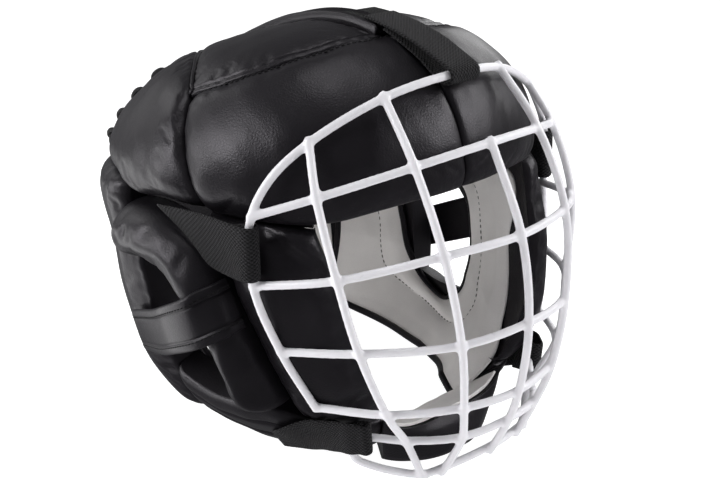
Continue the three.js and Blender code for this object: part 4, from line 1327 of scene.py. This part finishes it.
GUSSETS = {"ear": gusset(between_heights(*EAR_GUSSET, height_along(EAR_ROLL_EDGE), rear_edge_at), depth=14),
           "brow": gusset(between_heights(*BROW_GUSSET, cheek_top_at, height_along(BROW_EDGE)), depth=8),
           "valley": gusset(between_edges(ROLL_VALLEY, CHEEK_VALLEY), depth=9)}
REAR_GUSSET = gusset(between_heights(REAR_SPAN[0] + REAR_GUSSET_INSET, REAR_SPAN[1] - REAR_GUSSET_INSET,
                                     rear_top_at, crown_back_at), depth=6)

PAIRS = {"forehead": (FOREHEAD, 0.8), "crown": (CROWN, 0.75), "rear": (REAR, 0.7), "nape": (NAPE, 0.75),
         "ear_roll": (EAR_ROLL, 0.8), "cheek": (CHEEK, 0.7), "jaw": (JAW, 0.7)}
SINGLES = {"crown_strip": (STRIP, 0.7), "rear_centre": (REAR_CENTRE, 0.7)}
SIDES = (("left", 1), ("right", -1))

for node, (pad, fill) in PAIRS.items():
    for word, side in SIDES:
        dress(pad.make(f"{node}_{word}_pad", LEATHER, side), (f"{node}_{word}",))
for node, (pad, fill) in SINGLES.items():
    dress(pad.make(f"{node}_cover", LEATHER), (node,))

dress(chin_pad("chin_pad_cover", LEATHER), ("chin_pad",))
for node, pad in GUSSETS.items():
    for word, side in SIDES:
        dress(pad.make(f"{node}_gusset_{word}", LEATHER, side))
dress(REAR_GUSSET.make("rear_gusset", LEATHER))


def sewn(name, paths, material, side, sizes):
    """Rows of stitches along paths."""
    threads = joined([stitches(path, *sizes) for path in paths])
    return dress(new_mesh(name, *threads, material, side))


def bound(name, path, side, radius, closed=False):
    """A rolled edge of leather along a path."""
    roll = section_tube(path, radius, BINDING_SIDES, closed)
    return dress(new_mesh(name, *roll, LEATHER, side))


# Trims: the parts of the edges that they follow, and how high they lie
CROWN_RUN = np.linspace(0.02, 0.98, 160)
BACK_RUN = np.linspace(0.05, 0.9, 60)
PIPING_RUN = np.linspace(0.01, 0.99, 60)
CROWN_LIFT = 0.15
BACK_LIFT = 0.1
EAR_LIFT = EAR_STRAP_THICK / 2 + 1.05
ARC_LIFT = 0.25
HOLE_DEPTH = 0.9
RIM_DEPTH = 1.0
PIPING_INSET = 1.2
PIPING_LIFT = 0.3
PIPING_RADIUS = 1.2
HOLE_BINDING = 2.0
BINDING_SIDES = 12
# Stitches: step, share of it that the thread covers, and the thread's radius
CROWN_THREAD = (3.0, 0.66, 0.42)
EAR_THREAD = (2.6, 0.66, 0.36)
LINING_THREAD = (3.4, 0.6, 0.4)


def crown_back_track(inset, run, lift):
    return CROWN.track(np.full(len(run), 1 - inset / CROWN.long), run, lift)


crown_level = np.full(len(CROWN_RUN), 1 - CROWN_STITCH / FOREHEAD.wide)
crown_threads = [FOREHEAD.track(CROWN_RUN, crown_level, CROWN_LIFT),
                 crown_back_track(BACK_STITCH, BACK_RUN, BACK_LIFT)]
crown_edge = crown_back_track(PIPING_INSET, PIPING_RUN, PIPING_LIFT)
ear_rows = ear_strap_rows()
ear_threads = [band_track(ear_rows, 0.5 + 0.5 * EAR_STITCH * turn, EAR_LIFT) for turn in (1, -1)]
around = np.linspace(0, 1, 300, endpoint=False)
arc_path = ring_track(sewn_arc(around), around, LINING_GAP + LINING_THICK + ARC_LIFT)
hole_path = ring_track(0.0, around, LINING_GAP + HOLE_DEPTH)
rim_path = ring_track(1.0, np.linspace(*LINING_BOUND, 240), LINING_GAP + RIM_DEPTH)


def line(piece, node):
    """A lining: cloth stretched over the inside of the padding."""
    dress(piece, (node,))


for word, side in SIDES:
    sewn(f"crown_stitching_{word}", crown_threads, BLACK_THREAD, side, CROWN_THREAD)
    bound(f"crown_piping_{word}", crown_edge, side, PIPING_RADIUS)
    sewn(f"ear_strap_stitching_{word}", ear_threads, BLACK_THREAD, side, EAR_THREAD)
    trims = [sewn(f"lining_stitching_{word}", [arc_path], GREY_THREAD, side, LINING_THREAD),
             bound(f"ear_hole_binding_{word}", hole_path, side, HOLE_BINDING, closed=True),
             bound(f"lining_binding_{word}", rim_path, side, LINING_BINDING)]
    line(ring_lining(f"lining_{word}_sheet", SUEDE, side), f"lining_{word}")

dress(grille_piece(DIPPED), ("grille",))

STRAPS = (("side_strap", side_strap_rows(), SIDE_SAG), ("chin_strap", chin_strap_rows(), CHIN_SAG))
for word, side in SIDES:
    dress(band_piece(f"ear_strap_{word}_band", ear_rows, EAR_STRAP_THICK, LEATHER, side, bound_edges),
          (f"ear_strap_{word}",))
    for node, rows, sag in STRAPS:
        dress(band_piece(f"{node}_{word}_webbing", rows, WEBBING_THICK, WEBBING, side, sag=sag),
              (f"{node}_{word}",))
    strands = joined([section_tube(lace_path(swing), LACE_RADIUS, LACE_SIDES) for swing in (1, -1)])
    dress(new_mesh(f"lace_{word}_cord", *strands, LACE_CORD, side), (f"lace_{word}",))
dress(band_piece("top_strap_webbing", top_strap_rows(), WEBBING_THICK, WEBBING, sag=TOP_SAG),
      ("top_strap",))
dress(band_piece("loop_patch_mat", patch_rows(), WEBBING_THICK, FUZZ, step=PATCH_STEP),
      ("loop_patch",))
line(nape_lining("lining_nape_sheet", SUEDE), "lining_nape")
line(chin_lining("chin_lining_sheet", SUEDE), "chin_lining")


# Stage: floor, light and camera
FLOOR_REACH = 6
FLOOR_DROP = 0.0003
FLOOR_GLOW = 0.99
# The card: a patch of floor at the back left that glows brighter, painted light for the leather to mirror.
CARD_GLOW = 1.7
CARD_DROP = 0.0002
CARD_X = (-0.6, -0.14)
CARD_Y = (-0.02, 0.8)
WORLD_STRENGTH = 0.17
WORLD_COLOR = (0.97, 0.97, 1.0, 1)
# Columns: name, place, aim, size in metres, watts, beam in degrees
BOXES = (
    ("left_box", (-1.15, 0.55, 0.85), (0, 0, 0.1), 0.8, 2.0, 60),
    ("back_box", (-0.25, 1.6, 0.5), (0, 0, 0.1), 0.9, 0.17, 70),
    ("right_box", (1.0, -1.15, 0.9), (0, 0, 0.1), 0.8, 1.9, 60),
    ("far_right_box", (1.4, -0.4, 0.8), (0, 0, 0.1), 0.8, 1.05, 60),
    ("far_back_box", (1.35, 0.6, 0.55), (0, 0, 0.1), 0.7, 0.5, 60),
    ("top_box", (0.1, 0.2, 1.6), (0, 0, 0.1), 0.8, 0.75, 60),
    ("low_left_box", (-1.1, 1.1, 0.3), (0, 0, 0.1), 0.6, 0.7, 60),
    ("high_back_box", (-0.3, 1.5, 0.95), (0, 0, 0.15), 0.6, 0.22, 60),
)


def area_light(name, place, target, size, power, beam_degrees):
    lamp = bpy.data.lights.new(name, "AREA")
    lamp.shape = "DISK"
    lamp.size = size
    lamp.energy = power
    lamp.spread = math.radians(beam_degrees)
    piece = bpy.data.objects.new(name, lamp)
    bpy.context.collection.objects.link(piece)
    piece.location = place
    aim = np.array(target) - np.array(place)
    flat = math.hypot(aim[0], aim[1])
    piece.rotation_euler = (math.atan2(flat, -aim[2]), 0, math.atan2(-aim[0], aim[1]))


def ground(name, across, along, drop, glow):
    """A flat pale sheet that glows a little, so that it stays white round the part; the card glows brighter,
    as painted light.
    """
    look = Look(f"pale_{name}", (0.5, 0.5, 0.503), {
        "Roughness": 0.65, "Emission Color": (1, 1, 1, 1), "Emission Strength": glow})
    look.feed("Roughness", look.spans(look.noise(look.where, scale=12.0), 0.3, 0.7, 0.62, 0.68))
    (left, right), (front, back) = across, along
    mesh = bpy.data.meshes.new(name)
    corners = [(left, front, 0), (right, front, 0), (right, back, 0), (left, back, 0)]
    mesh.from_pydata(corners, [], [(0, 1, 2, 3)])
    mesh.materials.append(look.material)
    sheet = bpy.data.objects.new(name, mesh)
    bpy.context.collection.objects.link(sheet)
    sheet.location.z = -drop
    return sheet


def stage():
    """The floor isn't mirrored in the leather, which keeps its blacks deep; the card at the back is, a
    glowing patch of painted light that the leather mirrors.
    """
    whole = (-FLOOR_REACH, FLOOR_REACH)
    floor = ground("floor", whole, whole, FLOOR_DROP, FLOOR_GLOW)
    floor.visible_glossy = False
    # Painted light: a brighter glowing patch of floor, mirrored in the leather.
    ground("card", CARD_X, CARD_Y, CARD_DROP, CARD_GLOW)
    world = bpy.data.worlds.new("studio")
    world.use_nodes = True
    sky = world.node_tree.nodes["Background"]
    sky.inputs["Color"].default_value = WORLD_COLOR
    sky.inputs["Strength"].default_value = WORLD_STRENGTH
    bpy.context.scene.world = world
    bpy.context.scene.view_settings.view_transform = "Standard"
    for box in BOXES:
        area_light(*box)


def camera():
    lens = bpy.data.cameras.new("photo_camera")
    lens.lens = CAMERA_LENS
    lens.sensor_width = CAMERA_SENSOR
    lens.sensor_fit = "HORIZONTAL"
    eye = bpy.data.objects.new("photo_camera", lens)
    bpy.context.collection.objects.link(eye)
    eye.location = [part * MM for part in CAMERA_PLACE]
    eye.rotation_euler = [math.radians(part) for part in CAMERA_TURN]
    bpy.context.scene.camera = eye


stage()
camera()
